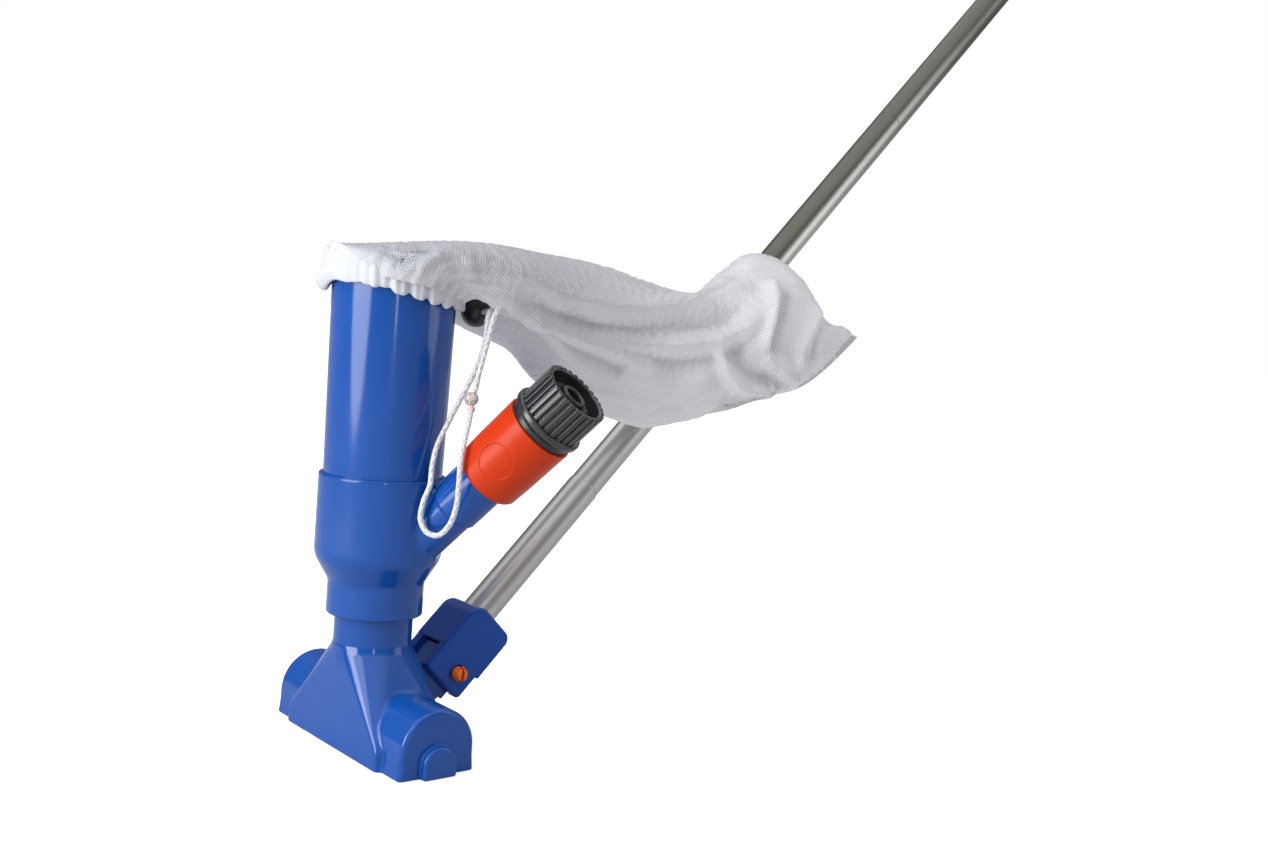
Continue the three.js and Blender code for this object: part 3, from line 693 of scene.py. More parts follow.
def arch(p, inset=0.0):
    """The bar's outline across its length: an arch on a slightly flared skirt."""
    y, z = p[:, 1] - BAR_MIDDLE, p[:, 2]
    radius = BAR_RADIUS - inset
    skirt = np.abs(y) - (radius + 0.85 * np.clip((BAR_SPRING - z) / BAR_SPRING, 0, 1) ** 2)
    return np.where(z > BAR_SPRING, np.hypot(y, z - BAR_SPRING) - radius, skirt)


def funnel(p, inset=0.0):
    """Hull of the neck's circle and the rounded rectangle that it grows from."""
    best = np.full(len(p), -1e9)
    for a in np.arange(0, 360, 3.0):
        c, s = math.cos(math.radians(a)), math.sin(math.radians(a))
        reach = 43 * abs(c) + 18.8 * abs(s) + 3 + 0.7 * s
        drop, out = 41.0, reach - NECK_RADIUS
        size = math.hypot(drop, out)
        slant = (drop * (p[:, 0] * c + p[:, 1] * s - NECK_RADIUS) + out * (p[:, 2] - 50)) / size
        best = np.maximum(best, slant)
    x, y = np.abs(p[:, 0]) - 43, np.abs(p[:, 1] - 0.7) - 18.8
    prism = np.hypot(np.maximum(x, 0), np.maximum(y, 0)) + np.minimum(np.maximum(x, y), 0) - 3
    return both(both(best, prism, 1.5), p[:, 2] - 50.5, 0.5) + inset


PIN = (5.4, 11.9)  # the hinge pin, in the pole's frame
PIN_HOLE = 4


def from_pin(q):
    return np.hypot(q[:, 1] - PIN[0], q[:, 2] - PIN[1])


def hinge_bracket(p):
    q = in_frame(p, POLE)
    _, t, s = q.T
    outline = polygon(t, s, [(-9.4, 17), (-9.4, -2), (-4, -22), (6, -22), (12.4, 8.9), (12.4, 11.9), PIN])
    web = polygon(t, s, [(-9.4, 17), (-9.4, -2), (12.4, -2), (12.4, 11.9), (1, 17)])
    side = np.abs(q[:, 0]) - 7.6
    body = both(either(np.minimum(outline, web), from_pin(q) - 7, 1.0), side, 0.8)
    return less(body, from_pin(q) - PIN_HOLE, 0.2)


def nozzle_field(p):
    x, y, z = p.T
    radial = np.hypot(x, y)
    bar = both(arch(p), np.abs(x) - BAR_HALF, 2.4)
    neck = both(radial - NECK_RADIUS, z - 80, 0.8)
    body = either(either(bar, funnel(p), 1.6), both(neck, 40 - z), 1.5)
    lug_y, lug_z = np.abs(y - 2.2), z - 7
    lug = np.where(lug_z > 0, (np.hypot(lug_y / 9, lug_z / 8) - 1) * 8, lug_y - 9)
    lug = both(both(lug, np.abs(x) - 66.5, 1.3), 55 - np.abs(x))
    body = either(body, lug, 0.5)
    body = either(body, hinge_bracket(p), 1.5)
    hollow = either(both(arch(p, 3), np.abs(x) - BAR_HALF + 3), both(funnel(p, 3), z - 49))
    hollow = either(hollow, both(radial - NECK_BORE, 5 - z))
    return both(less(body, hollow, 0.5), -z, 0.7)


step = 2.0 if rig.quick() else 0.9
field_piece("nozzle_shell", nozzle_field, (-68, -22, -2.5), (68, 62, 82), step, blue, ["suction_nozzle"])


# ---- venturi body and discharge tube
TUBE_TOP = 243


def body_field(p):
    z, radial = polar(p)
    q = in_frame(p, BRANCH)
    run, across = polar(q)
    cone = ((radial - 23.8) * 12.5 - (z - 82) * 7.5) / 14.577
    main = both(both(radial - 31.3, z - 135.2, 0.9), cone, 1.6)
    collar = both(both(radial - 23.8, 65.5 - z, 0.9), z - 90, 0.5)
    main = either(main, collar, 0.8)
    thin = both(both(across - 11.7, run - 60.5, 0.4), 14 - run)
    thick = both(both(across - 12.8, run - 84, 0.6), 59.6 - run, 0.7)
    side = np.abs(q[:, 1]) - 4
    rib = both(both(side, -12.6 - q[:, 0], 0.7), both(np.abs(run - 50) - 10.5, q[:, 0]))
    rib_end = both(both(side, -13.7 - q[:, 0], 0.7), both(np.abs(run - 70.8) - 10.8, q[:, 0]))
    branch = either(either(either(thin, thick, 0.3), rib, 0.6), rib_end, 0.6)
    body = either(main, branch, 2.2)
    hollow = either(both(radial - 29.1, 112 - z), both(radial - 25.6, 98 - z))
    hollow = either(hollow, both(radial - NECK_BORE, np.abs(z - 90) - 14))
    hollow = either(hollow, both(radial - 19.8, z - 80.5))
    hollow = either(hollow, both(across - 6.5, 15 - run))
    return less(body, hollow, 0.35)


field_piece("venturi_shell", body_field, (-34, -34, 64), (70, 50, 151), step, blue, ["venturi_body"])
tube = lathe([(26.3, 112.4, 0.4), (28.3, 112.4, 0.4), (30.4, TUBE_TOP, 0.8), (28.4, TUBE_TOP, 0.8)], 144)
piece("tube_shell", *tube, blue, ["discharge_tube"])


# ---- pole and its hinge
def block_field(q):
    x, t, s = q.T
    outline = both(both(both(t - 18, s - 45.5, 5), -t - 12.3, 8), 17.5 - s, 0.5)
    cheek = both(both(both(t - 16, 2.4 - s, 2.6), -t - 12.0, 1.2), s - 30)
    fork = both(cheek, 8 - np.abs(x), 0.4)
    body = either(outline, fork, 0.4)
    body = both(body, np.abs(x) - 14, 1.3)
    bore = both(np.hypot(x, t) - 8.8, 22 - s)
    pin = from_pin(q)
    body = less(body, bore, 0.5)
    return less(less(body, pin - PIN_HOLE, 0.4), both(pin - 8, np.abs(x) - 8), 0.3)


def pin_field(q):
    """Split snap pin: a head on one side, two sprung lobes on the other."""
    x, t, s = q.T
    t, s = t - PIN[0], s - PIN[1]
    across = from_pin(q)
    head = both(across - 6, np.abs(x + 15.2) - 0.95, 0.5)
    shank = both(across - 3.6, np.abs(x + 0.5) - 14.9)
    lobe = both(across - (4.5 - 0.34 * np.clip(x - 14.5, 0, 5)), np.abs(x - 16.7) - 2.2, 0.9)
    a = math.radians(38)
    slit = both(np.abs(t * math.cos(a) + s * math.sin(a)) - 0.7, 2 - x)
    return less(either(either(head, shank), lobe, 0.3), slit, 0.3)


fine = 1.2 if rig.quick() else 0.6
on_pole = {"place": POLE, "body": "pole"}
field_piece(
    "block_shell", block_field, (-15.5, -14, 1), (15.5, 20, 47), fine, block_blue, ["pole_block"],
    slot="blue_plastic", **on_pole,
)
field_piece(
    "pin_shell", pin_field, (-17, -1.6, 4.8), (20, 13, 19), 0.35, pin_orange, ["hinge_pin"],
    slot="orange_plastic", **on_pole,
)
POLE_ENDS = [22.3, 137.0, 466.0, 795.0, 1124.0]
POLE_RADII = (8.5, 8.1, 8.1, 8.1)
for index, radius in enumerate(POLE_RADII):
    low, high = POLE_ENDS[index] + (0.3 if index else 0), POLE_ENDS[index + 1]
    profile = [(radius - 1, low, 0.2), (radius, low, 0.35), (radius, high, 0.35), (radius - 1, high, 0.2)]
    if index:
        spigot = POLE_RADII[index - 1] - 1.3
        profile = [(spigot - 1, low - 28), (spigot, low - 28, 0.3), (spigot, low), *profile[1:]]
        profile += [(radius - 1, low + 2), (spigot - 1, low)]
    name = f"pole_section_{index + 1}"
    piece(name + "_tube", *lathe(profile, 72), tube_metal, [name], **on_pole)
end = POLE_ENDS[-1]
cap = [
    (0, end + 3.4), (8.0, end + 3.4), (9.1, end + 3.0), (9.7, end + 1.8), (9.7, end - 26), (8.4, end - 26),
    (8.4, end + 0.3), (0, end + 0.3),
]
piece("pole_end_cap", *lathe(cap, 64, closed=False), black, ["pole_cap"], **on_pole)


# ---- quick connector on the inlet
def sleeve_field(q):
    run, across = polar(q)
    outer = polygon(across, run, [(0, 80), (16.1, 82.5), (17.4, 84.6), (17.9, 96.5), (18.3, 121.2), (0, 121.2)])
    outer = both(outer, run - 121.2, 0.5)
    outer = both(outer, 82.5 - run, 0.8)
    a = math.radians(7)
    sideways = q[:, 0] * math.cos(a) + q[:, 1] * math.sin(a)
    facing = q[:, 1] * math.cos(a) - q[:, 0] * math.sin(a)
    thumb = both(both(np.hypot(sideways, run - 99.85) - 8.5, facing), 17.35 - across)
    inner = either(both(across - 16.5, 95.5 - run), both(across - 13.2, 86 - run))
    inner = np.minimum(inner, across - 13.9 + np.maximum(run - 84, 0))
    return less(less(outer, thumb, 0.5), inner, 0.25)


def nut_field(q):
    run, across = polar(q)
    share = math.tau / 28
    turn = np.mod(np.arctan2(q[:, 1], q[:, 0]) + share / 2, share) - share / 2
    flange = both(across - 19, np.abs(run - 126.8) - 1.8, 1.0)
    barrel = both(across - 15.9, np.abs(run - 137) - 9.3, 0.5)
    rib = both(np.abs(turn * across) - 1.3, across - 17.3, 0.5)
    rib = both(both(rib, np.abs(run - 137.0) - 9.5, 0.4), 14.6 - across)
    body = either(either(barrel, flange, 0.6), rib, 0.25)
    return less(body, np.minimum(across - 14.4, across - 14.4 - (run - 145.7)), 0.3)


fine = 0.9 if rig.quick() else 0.405
field_piece(
    "sleeve_shell", sleeve_field, (-20, -20, 81), (20, 20, 123), fine, orange, ["release_sleeve"],
    place=BRANCH, body="sleeve",
)
field_piece(
    "nut_shell", nut_field, (-21, -21, 123.5), (21, 21, 148), fine, dark_grey, ["hose_nut"],
    place=BRANCH, body="nut", slot="black_plastic",
)
core = [
    (8.9, 97), (11.6, 97, 0.4), (11.6, 99), (16.3, 101, 0.5), (16.3, 123.4, 0.4), (15.4, 124.6, 0.3), (13.4, 124.6),
    (13.4, 134, 0.5), (12.2, 134.6), (9.6, 134.6), (9.6, 126), (6.2, 126, 0.5), (6.2, 141.3), (6.6, 141.7, 0.2),
    (6.0, 144.3, 0.4), (4.9, 144.3, 0.4), (4.9, 111), (8.9, 109.4),
]
piece("core_shell", *lathe(core, 80), black, ["connector_core"], place=BRANCH, body="connector")


# ---- cord lock
def lock_field(p):
    q = p - np.array(LOCK)
    across = np.hypot(q[:, 0], q[:, 1])
    between = np.clip(q[:, 1] + 0.6, 0, 2.1)
    cords = np.hypot(q[:, 1] + 0.6 - between, q[:, 2] - 0.3 * between) - 1.6
    hole = either(both(across - 3.6, -6.8 - q[:, 2]), cords)
    return less(np.linalg.norm(q, axis=1) - 8, hole, 0.35)


lock_ball = field_piece("lock_ball", lock_field, *box_round(LOCK, 9), 0.5, black, ["cord_lock_body"])
plunger = [
    (0, -2.2), (3.0, -2.2), (3.1, -2.0), (3.1, 8.6), (4.5, 9.4), (4.7, 9.8), (4.6, 10.8), (3.6, 11.5), (0, 11.6),
]
lock_button = piece(
    "lock_button", *lathe(plunger, 40, closed=False), black, ["cord_lock_plunger"],
    place=UPRIGHT @ Matrix.Translation(LOCK * MM), body="plunger",
)


def coil(radius, low, high, turns):
    """A helix with closed end turns, about the cord lock's axis."""
    share = np.linspace(0, 1, 25 * turns)
    a = share * turns * math.tau
    rise = low + (high - low) * np.clip((share - 0.12) / 0.76, 0, 1)
    return np.array(LOCK) + np.stack([radius * np.cos(a), radius * np.sin(a), rise], -1)


WIRE = 0.3
SPRING_FOOT, SPRING_TOP = -6.5, -2.5  # from the lock's centre
spring_path = coil(2.0, SPRING_FOOT + WIRE, SPRING_TOP - WIRE, 4)
spring = piece(
    "lock_spring_coil", *tube_mesh(spring_path, WIRE, 10), steel(), ["cord_lock_spring"], sharp=0
)
foot = UPRIGHT @ ((LOCK + Vector((0, 0, SPRING_FOOT))) * MM)
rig.squash(spring, "plunger_press", axis=(0, 0, 1), anchor=tuple(foot), keep=0.6)
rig.cord(
    string, string_path[0], string_length, 2 * CORD_RADIUS * MM, "object", "limp", "hanging",
    path=string_path, with_pieces=[bead, knot, lock_ball, lock_button, spring],
)
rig.cord(
    back, back_path[0], back_length, 2 * CORD_RADIUS * MM, "object", "limp", "hanging", path=back_path,
)


# ---- collection bag
# Closed loops round the bag from its mouth to its end seam. Eight points each: near side, near top, top,
# far top, far side, far bottom, bottom, near bottom.
LOOPS = [
    [(33.6, 0, 228), (23.8, -23.8, 233), (0, -33.6, 241), (-23.8, -23.8, 242), (-33.6, 0, 238),
     (-23.8, 23.8, 230), (0, 33.6, 226), (23.8, 23.8, 223)],
    [(34.6, 3, 236), (24.6, -23.2, 242), (0, -32.5, 245.3), (-24.5, -22.5, 245), (-34.2, 1, 241),
     (-25, 25, 234), (0, 37, 233), (28, 31, 225)],
    [(36, 14, 240), (24, -10, 246), (2, -20, 246.8), (-24, -12, 246), (-34, 12, 241),
     (-28, 36, 226), (2, 49, 233), (34, 42, 218)],
    [(38, 34, 240), (27, 16, 249), (2, 8, 250), (-24, 12, 247.5), (-34, 34, 235),
     (-26, 54, 211), (8, 60, 227), (38, 52, 216)],
    [(39, 64, 233), (29, 50, 249), (6, 46, 253.3), (-18, 50, 249), (-26, 66, 226),
     (-17, 78, 200), (10, 82, 205), (34, 77, 206)],
    [(38, 98, 220), (29, 90, 242), (8, 86, 250.8), (-12, 90, 243), (-16, 102, 216),
     (-6, 98, 185), (10, 104, 177), (30, 106, 191)],
    [(38, 140, 208), (31, 133, 230), (12, 128, 246.5), (-4, 133, 235), (-6, 140, 210),
     (4, 146, 182), (19, 146, 162.5), (34, 147, 179)],
    [(44, 182, 203), (37, 183, 223), (15, 184, 237), (0, 188, 231), (3, 188, 210),
     (14, 178, 184), (30, 170, 166), (42, 174, 182)],
    [(47, 208, 205), (38, 210, 234), (10, 213, 248), (-9, 226, 248), (12, 214, 212),
     (22, 198, 187), (35, 184, 171), (45, 192, 184)],
    [(47, 236, 210), (38, 236, 245), (10, 231, 262), (-10, 246, 256), (14, 238, 214),
     (26, 214, 188), (39, 196, 174), (46, 212, 187)],
    [(45, 258, 214), (37, 256, 246), (13, 249, 263.5), (-10, 256, 256), (16, 256, 214),
     (29, 228, 190), (41, 202, 176.5), (46, 230, 190)],
    [(42, 268, 209), (37, 268, 231), (22, 262, 249), (13, 268, 243), (20, 266, 211),
     (31, 240, 190), (42, 202, 178), (45, 240, 190)],
    [(39.5, 264, 198), (35.5, 283, 214), (28.5, 284, 227.5), (27, 285, 224.5), (33, 262, 198),
     (37.5, 238, 185), (42.5, 196, 178), (43, 238, 186)],
    [(39, 258.6, 192.8), (34.8, 286, 209), (29, 299, 226), (30.5, 287, 214), (35.3, 257.6, 192.8),
     (39, 227.4, 183.1), (42.8, 190.2, 176.9), (42.2, 227.4, 183.6)],
    [(38.4, 253.3, 187.6), (34.4, 282.7, 201.4), (29.5, 312, 220.3), (33.6, 282.7, 201.4), (37.6, 253.3, 187.6),
     (40.6, 216.7, 181.2), (43, 184.5, 175.8), (41.4, 216.7, 181.2)],
]


def catmull(p, count, closed):
    """Catmull-Rom through the rows of an array, with `count` steps to a span."""
    ends = (p[-1:], p, p[:2]) if closed else (2 * p[:1] - p[1:2], p, 2 * p[-1:] - p[-2:-1])
    p = np.concatenate(ends)
    t = (np.arange(count) / count).reshape([-1] + [1] * (p.ndim - 1))
    out = []
    for a, b, c, d in zip(p, p[1:], p[2:], p[3:]):
        bend = (2 * a - 5 * b + 4 * c - d) * t**2 + (3 * b - a - 3 * c + d) * t**3
        out.append(0.5 * (2 * b + (c - a) * t + bend))
    return np.concatenate(out if closed else out + [p[-2:-1]])


def off_pole(p, clearance):
    """Moves points out to a clearance from the pole's axis. Upright frame, millimetres."""
    q = in_frame(p, POLE)
    distance = np.linalg.norm(q[..., :2], axis=-1)[..., None]
    q[..., :2] *= np.maximum(1, clearance / np.maximum(distance, 1e-3))
    return in_frame(q, UPRIGHT, POLE)


ROWS, ROUND = 150, 200

# Folds in the cloth: height and width in millimetres, then the points that each runs through.
FOLDS = [
    (3.0, 4.0, [(38, 44, 222), (39, 58, 216), (38, 76, 211), (37, 99, 206), (38, 123, 199), (39, 150, 193)]),
    (-2.5, 4.0, [(38, 62, 211), (36, 82, 204), (36, 105, 198), (37, 128, 191)]),
    (3.5, 7.0, [(36, 16, 242), (38, 37, 239), (39, 56, 236), (39, 74, 230), (37, 103, 227), (34, 135, 228),
                (26, 175, 233), (23, 205, 243), (20, 225, 254)]),
    (-3.0, 7.0, [(39, 60, 225), (39, 85, 219), (38, 115, 216), (38, 150, 219), (37, 180, 224), (34, 208, 235)]),
    (3.0, 6.0, [(38, 92, 214), (37, 130, 208), (41, 165, 210), (41, 195, 216), (37, 217, 231), (32, 229, 243)]),
    (-2.5, 6.0, [(38, 105, 203), (40, 150, 200), (43, 185, 205), (42, 207, 216)]),
    (4.5, 4.0, [(31, 229, 251), (40, 224, 239), (44, 219, 227), (46, 214, 215), (47, 211, 206)]),
    (-3.5, 5.0, [(36, 238, 243), (44, 229, 229), (47, 222, 216), (47, 219, 208)]),
    (3.5, 4.0, [(41, 183, 215), (44, 182, 205), (46, 187, 194), (46, 198, 187), (46, 212, 186), (44, 230, 187)]),
    (-3.0, 6.0, [(45, 193, 213), (47, 196, 203), (47, 207, 196), (47, 222, 194)]),
    (3.0, 4.0, [(47, 211, 206), (48, 223, 200), (46, 235, 194), (43, 246, 190)]),
    (3.5, 5.0, [(41, 262, 236), (45, 250, 222), (47, 241, 209), (46, 243, 199)]),
    (-3.5, 5.0, [(39, 272, 226), (44, 262, 214), (45, 258, 203)]),
    (3.4, 4.0, [(27, -21, 235), (30, -14, 236), (33, -5, 240), (33, 5, 245)]),
    (-3.4, 4.5, [(29, -18, 241), (31, -8, 244.5), (29, 2, 248.5)]),
    (2.5, 4.0, [(30, -14, 231), (34, -4, 234.5), (35, 9, 238), (37, 22, 239)]),
    (2.0, 4.0, [(15, 94, 191), (23, 109, 182), (29, 127, 177), (34, 152, 174)]),
    (2.0, 5.0, [(38, 120, 190), (41, 150, 186), (44, 176, 190)]),
]


def outward(p):
    """Normals of a grid whose second axis closes round."""
    n = np.cross(np.gradient(p, axis=0), np.roll(p, -1, 1) - np.roll(p, 1, 1))
    return unit(n, 1e-9)


def near_line(p, points):
    """Distance to a smooth line through the points, fading past its ends."""
    line = even(catmull(np.array(points, float), 12, False), 60)
    best = np.full(p.shape[:-1], 1e9)
    for k, q in enumerate(line):
        fade = min(1, (k + 1) / 9, (len(line) - k) / 9)
        best = np.minimum(best, np.linalg.norm(p - q, axis=-1) + 8 * (1 - fade))
    return best


def folded(p):
    """Raises the folds, the gathers at the mouth and a slight overall unevenness."""
    n = outward(p)
    lift = np.zeros(p.shape[:-1])
    for height, width, points in FOLDS:
        lift += 1.5 * height * np.exp(-((near_line(p, points) / width) ** 1.5))
    row = np.arange(len(p))[:, None] / (len(p) - 1)
    turn = np.arange(p.shape[1])[None] / p.shape[1] * math.tau
    gather = np.exp(-row / 0.05) * (0.55 + 0.45 * np.sin(turn * 2 + 2.4))
    lift += 1.3 * gather * np.sin(26 * turn + 5 * np.sin(turn) + 9 * row)
    wave = np.sin(7 * turn + 11 * row + 1.0) + np.sin(11 * turn - 17 * row) + np.sin(5 * turn + 31 * row + 2.0)
    lift += 0.35 * wave * np.sin(math.pi * np.clip(row * 1.1, 0, 1))
    return p + n * lift[..., None] * np.clip((1 - row) / 0.03, 0, 1)[..., None]


def bag_grid():
    p = catmull(np.array(LOOPS, float), 12, False)
    p = np.moveaxis(catmull(np.moveaxis(p, 1, 0), 24, True), 0, 1)
    p = np.stack([even(p[:, k], ROWS) for k in range(p.shape[1])], 1)
    p = np.stack([even(row, ROUND, True) for row in p])
    return off_pole(folded(p), 9.8)


MESH_PITCH = 0.0015  # metres between threads


def mesh_cloth():
    """Fine knitted mesh: crossing threads with small gaps, silky, its density uneven in places, with painted shade in
    its valleys, near its mouth and on faces turned up, and a painted glow on faces turned down.
    """
    m = Nodes("bag_mesh")
    uv = m.uv("cloth")
    sway = m.times(m.noise(m.place(), 60.0, 2.0), MESH_PITCH)
    across = m.times(m.plus(uv[0], sway), math.tau / MESH_PITCH)
    along = m.times(m.plus(uv[1], sway), math.tau / MESH_PITCH)
    warp = m.maths("SINE", m.plus(across, along))
    weft = m.maths("SINE", m.maths("SUBTRACT", across, along))
    weave = m.maths("MAXIMUM", warp, weft)
    hole = m.spread(weave, 1, 0, -0.75, 0.1)
    cloud = m.noise(m.place(), 45.0, 4.0, 0.6)
    open_weave = m.spread(uv[1], 0.95, 0.35, 0.12, 0.22)
    gap = m.maths("SUBTRACT", 1.0, m.spread(weave, 0, 1, -0.4, 1))
    thread = m.maths("SUBTRACT", 1.0, m.times(open_weave, gap))
    base = m.mix(cloud, (0.66, 0.67, 0.70, 1), (0.80, 0.81, 0.83, 1))
    base = m.mix(m.times(thread, 0.95, clamp=True), (0.44, 0.45, 0.50, 1), base)
    # Painted shade: the cloth darkens in its valleys, near the mouth and on faces turned up.
    valley = m.add("ShaderNodeAttribute", attribute_name="valley").outputs["Fac"]
    folds = m.spread(valley, 0, 0.25, 0.1, 1.3)
    mouth = m.spread(uv[1], 0.27, 0.0, 0.01, 0.2)
    up = m.parts(m.add("ShaderNodeNewGeometry").outputs["Normal"])[2]
    above = m.spread(up, 0.0, 0.3, 0.35, 0.95)
    thin = m.plus(m.plus(folds, mouth), above, clamp=True)
    base = m.mix(thin, base, (0.17, 0.18, 0.23, 1))
    through = m.spread(up, 0.24, 0.0, -0.9, 0.1)  # light that comes through the mesh from above
    m.set(Emission_Color=(0.84, 0.85, 0.88, 1), Emission_Strength=through)
    m.set(Base_Color=base, Roughness=m.spread(thread, 0.62, 0.42))
    m.set(Sheen_Weight=0.25, Sheen_Roughness=0.35, Specular_IOR_Level=0.4)
    m.set(Alpha=m.maths("SUBTRACT", 1.0, m.times(hole, 0.45, clamp=True)))
    m.bump(thread, 0.00015)
    return m.material


bag_cloth = mesh_cloth()
bag_points = bag_grid()
bag = piece(
    "mesh_bag", bag_points.reshape(-1, 3), grid_faces(ROWS, ROUND), bag_cloth, ["collection_bag"], sharp=0
)


def bag_rows():
    return points_of(bag).reshape(ROWS, ROUND, 3)


def lay_uv():
    """A map in metres over the bag: u around, v along."""
    p = bag_rows()
    wide = np.linalg.norm(p - np.roll(p, 1, 1), axis=-1).mean()
    long = np.linalg.norm(np.diff(p, axis=0), axis=-1).mean()
    grid_map(bag, "cloth", np.arange(ROWS) * long, np.arange(ROUND + 1) * wide)


CLOTH_GAP = 0.008  # metres, at ten times the size


def collider(name, a, b, radius, scale):
    """A smooth rod for the cloth to rest on."""
    a, b = Vector(a) * MM * scale, Vector(b) * MM * scale
    verts, faces = lathe([(radius - 4, 0), (radius, 0), (radius, 1000), (radius - 4, 1000)], 48)
    along = b - a
    stretch = np.array(verts) * (scale * MM, scale * MM, along.length / 1000)
    obj = add_object(name, new_mesh(name, stretch, faces))
    obj.matrix_world = Matrix.Translation(a) @ along.to_track_quat("Z", "Y").to_matrix().to_4x4()
    obj.modifiers.new("collision", "COLLISION")
    obj.collision.thickness_outer = CLOTH_GAP
    return obj


def settle(obj, hold, frames, growth, rods, limit):
    """Cloth simulation, worked at ten times the size and applied to the mesh.

    `hold` is how firmly each point keeps its place, `growth` how much the cloth spreads into wrinkles,
    `limit` the furthest that a point may move, in millimetres.
    """
    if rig.quick():
        return
    scale = 10
    start = points_of(obj)
    work = add_object("cloth_work", obj.data.copy())
    work.data.vertices.foreach_set("co", (start * scale).ravel())
    group = work.vertex_groups.new(name="hold")
    for level in np.unique(hold):
        group.add(np.flatnonzero(hold == level).tolist(), float(level), "REPLACE")
    cloth = work.modifiers.new("cloth", "CLOTH")
    s = cloth.settings
    s.quality, s.mass, s.air_damping = 6, 0.15, 2.0
    s.tension_stiffness, s.compression_stiffness, s.shear_stiffness, s.bending_stiffness = 20, 20, 6, 0.8
    s.vertex_group_mass, s.pin_stiffness = "hold", 1.0
    s.shrink_min = s.shrink_max = -growth
    s.effector_weights.gravity = 0.5
    cloth.collision_settings.distance_min = CLOTH_GAP
    cloth.point_cache.frame_start, cloth.point_cache.frame_end = 1, frames
    colliders = [collider(f"rod_{k}", *r, scale) for k, r in enumerate(rods)]
    for number in range(1, frames + 1):
        bpy.context.scene.frame_set(number)
    made = work.evaluated_get(bpy.context.evaluated_depsgraph_get())
    end = points_of(made) / scale
    move = end - start
    far = np.linalg.norm(move, axis=1)[:, None]
    end = start + move * np.minimum(1, limit * MM / np.maximum(far, 1e-9))
    obj.data.vertices.foreach_set("co", end.ravel())
    for o in (work, *colliders):
        bpy.data.objects.remove(o)
    bpy.context.scene.frame_set(1)


hold = np.full((ROWS, ROUND), 0.6)
hold[:3] = hold[-2:] = 1.0
POLE_LINE = [Vector(POLE @ Vector((0, 0, s * MM)) - UPRIGHT.translation) / MM for s in (120, 420)]
RODS = [(*POLE_LINE, 8.5), ((0, 0, 150), (0, 0, TUBE_TOP - 0.5), 30.4)]
settle(bag, hold.ravel(), frames=14, growth=0.04, rods=RODS, limit=9)
lay_uv()


def mark_valleys(passes):
    """Stores how far each point of the bag lies below its surroundings, in millimetres, for the painted shade in the
    cloth's valleys.
    """
    soft = p = bag_rows() / MM
    for _ in range(passes):
        soft = (np.roll(soft, 1, 1) + np.roll(soft, -1, 1) + 2 * soft) / 4
        wide = np.concatenate([soft[:1], soft, soft[-1:]])
        soft = (wide[:-2] + wide[2:] + 2 * soft) / 4
    depth = ((soft - p) * outward(p)).sum(-1)
    layer = bag.data.attributes.new("valley", "FLOAT", "POINT")
    layer.data.foreach_set("value", depth.astype(np.float32).ravel())


mark_valleys(30)


def level(azimuth, heights):
    """A height at an azimuth in degrees, eased between evenly spaced values that start at 0 degrees."""
    fine = catmull(np.array(heights, float), 30, True)
    return np.interp(azimuth % 360, np.linspace(0, 360, len(fine), endpoint=False), fine, period=360)


HEM_TOPS = [231, 228, 229, 234, 241.5, 246.5, 246.5, 238.5]  # every 45 degrees from +X towards +Y
HEM_FEET = [221.5, 219, 220, 224, 227.5, 227.5, 228.5, 227]


def bell(x, middle, width):
    return math.exp(-(((x - middle) / width) ** 2))


def hem_rings():
    """Folded band round the tube: smooth and tall on the left, gathered into scallops on the right."""
    rings = []
    for degree in np.arange(0, 360, 0.75):
        a = math.radians(degree)
        gathered = 0.5 + 0.5 * math.tanh((math.cos(a - math.radians(50)) + 0.35) * 3.2)
        left, lobe = bell(degree, 222, 30), bell(degree, 241, 17)
        pleat = math.sin(19 * a + 2.2 * math.sin(3 * a))
        second = math.sin(43 * a + 2 * math.sin(2 * a) + 1)
        top = level(degree, HEM_TOPS) + 0.5 * gathered * second
        foot = level(degree, HEM_FEET) - gathered * (0.9 * pleat + 0.3 * second)
        foot -= 0.25 * math.sin(9 * a) + 4.5 * lobe
        ring = []
        for k in range(28):
            turn = math.tau * k / 28
            c, s = math.cos(turn), math.sin(turn)
            rise = 0.5 + 0.5 * math.copysign(abs(s) ** 0.7, s)
            thick = 1.15 + 0.75 * left + 0.35 * math.sin(5 * a + 4 * rise) ** 2
            out = 32.6 + thick * math.copysign(abs(c) ** 0.8, c) + 0.5 * (1 - rise)
            if c > 0:
                out += gathered * (0.75 * pleat * (1 - 0.55 * rise) + 0.35 * second)
                out += left * (2.4 * bell(rise, 0.25, 0.22) + 0.9)
                out += 0.35 * (1 - gathered) * math.sin(4 * a + 7 * rise)
                out += lobe * (1.8 * bell(rise, 0.16, 0.16) - 1.2 * bell(rise, 0.4, 0.09))
            out -= 1.6 * max(0, rise - 0.8) * (1 - gathered)
            ring.append((out * math.cos(a), out * math.sin(a), foot + (top - foot) * rise))
        rings.append(ring)
    return np.array(rings)


def hem_cloth():
    """Close white weave with fine ribs round the band."""
    m = Nodes("hem_cloth")
    at = m.place()
    x, y, z = m.parts(at)
    turn = m.maths("ARCTAN2", y, x)
    rib = m.maths("SINE", m.times(z, math.tau / 0.0011))
    thread = m.maths("SINE", m.times(turn, 190.0))
    weave = m.times(m.plus(rib, thread), 0.5)
    cloud = m.noise(at, 90.0, 4.0, 0.6)
    base = m.mix(cloud, (0.47, 0.49, 0.54, 1), (0.60, 0.61, 0.64, 1))
    m.set(Base_Color=m.mix(m.spread(weave, 0.7, 1.0, -1, 1), (0.4, 0.42, 0.48, 1), base), Roughness=0.8)
    m.set(Sheen_Weight=0.2, Sheen_Roughness=0.4)
    m.bump(m.plus(weave, m.times(cloud, 4.0)), 0.00005)
    return m.material


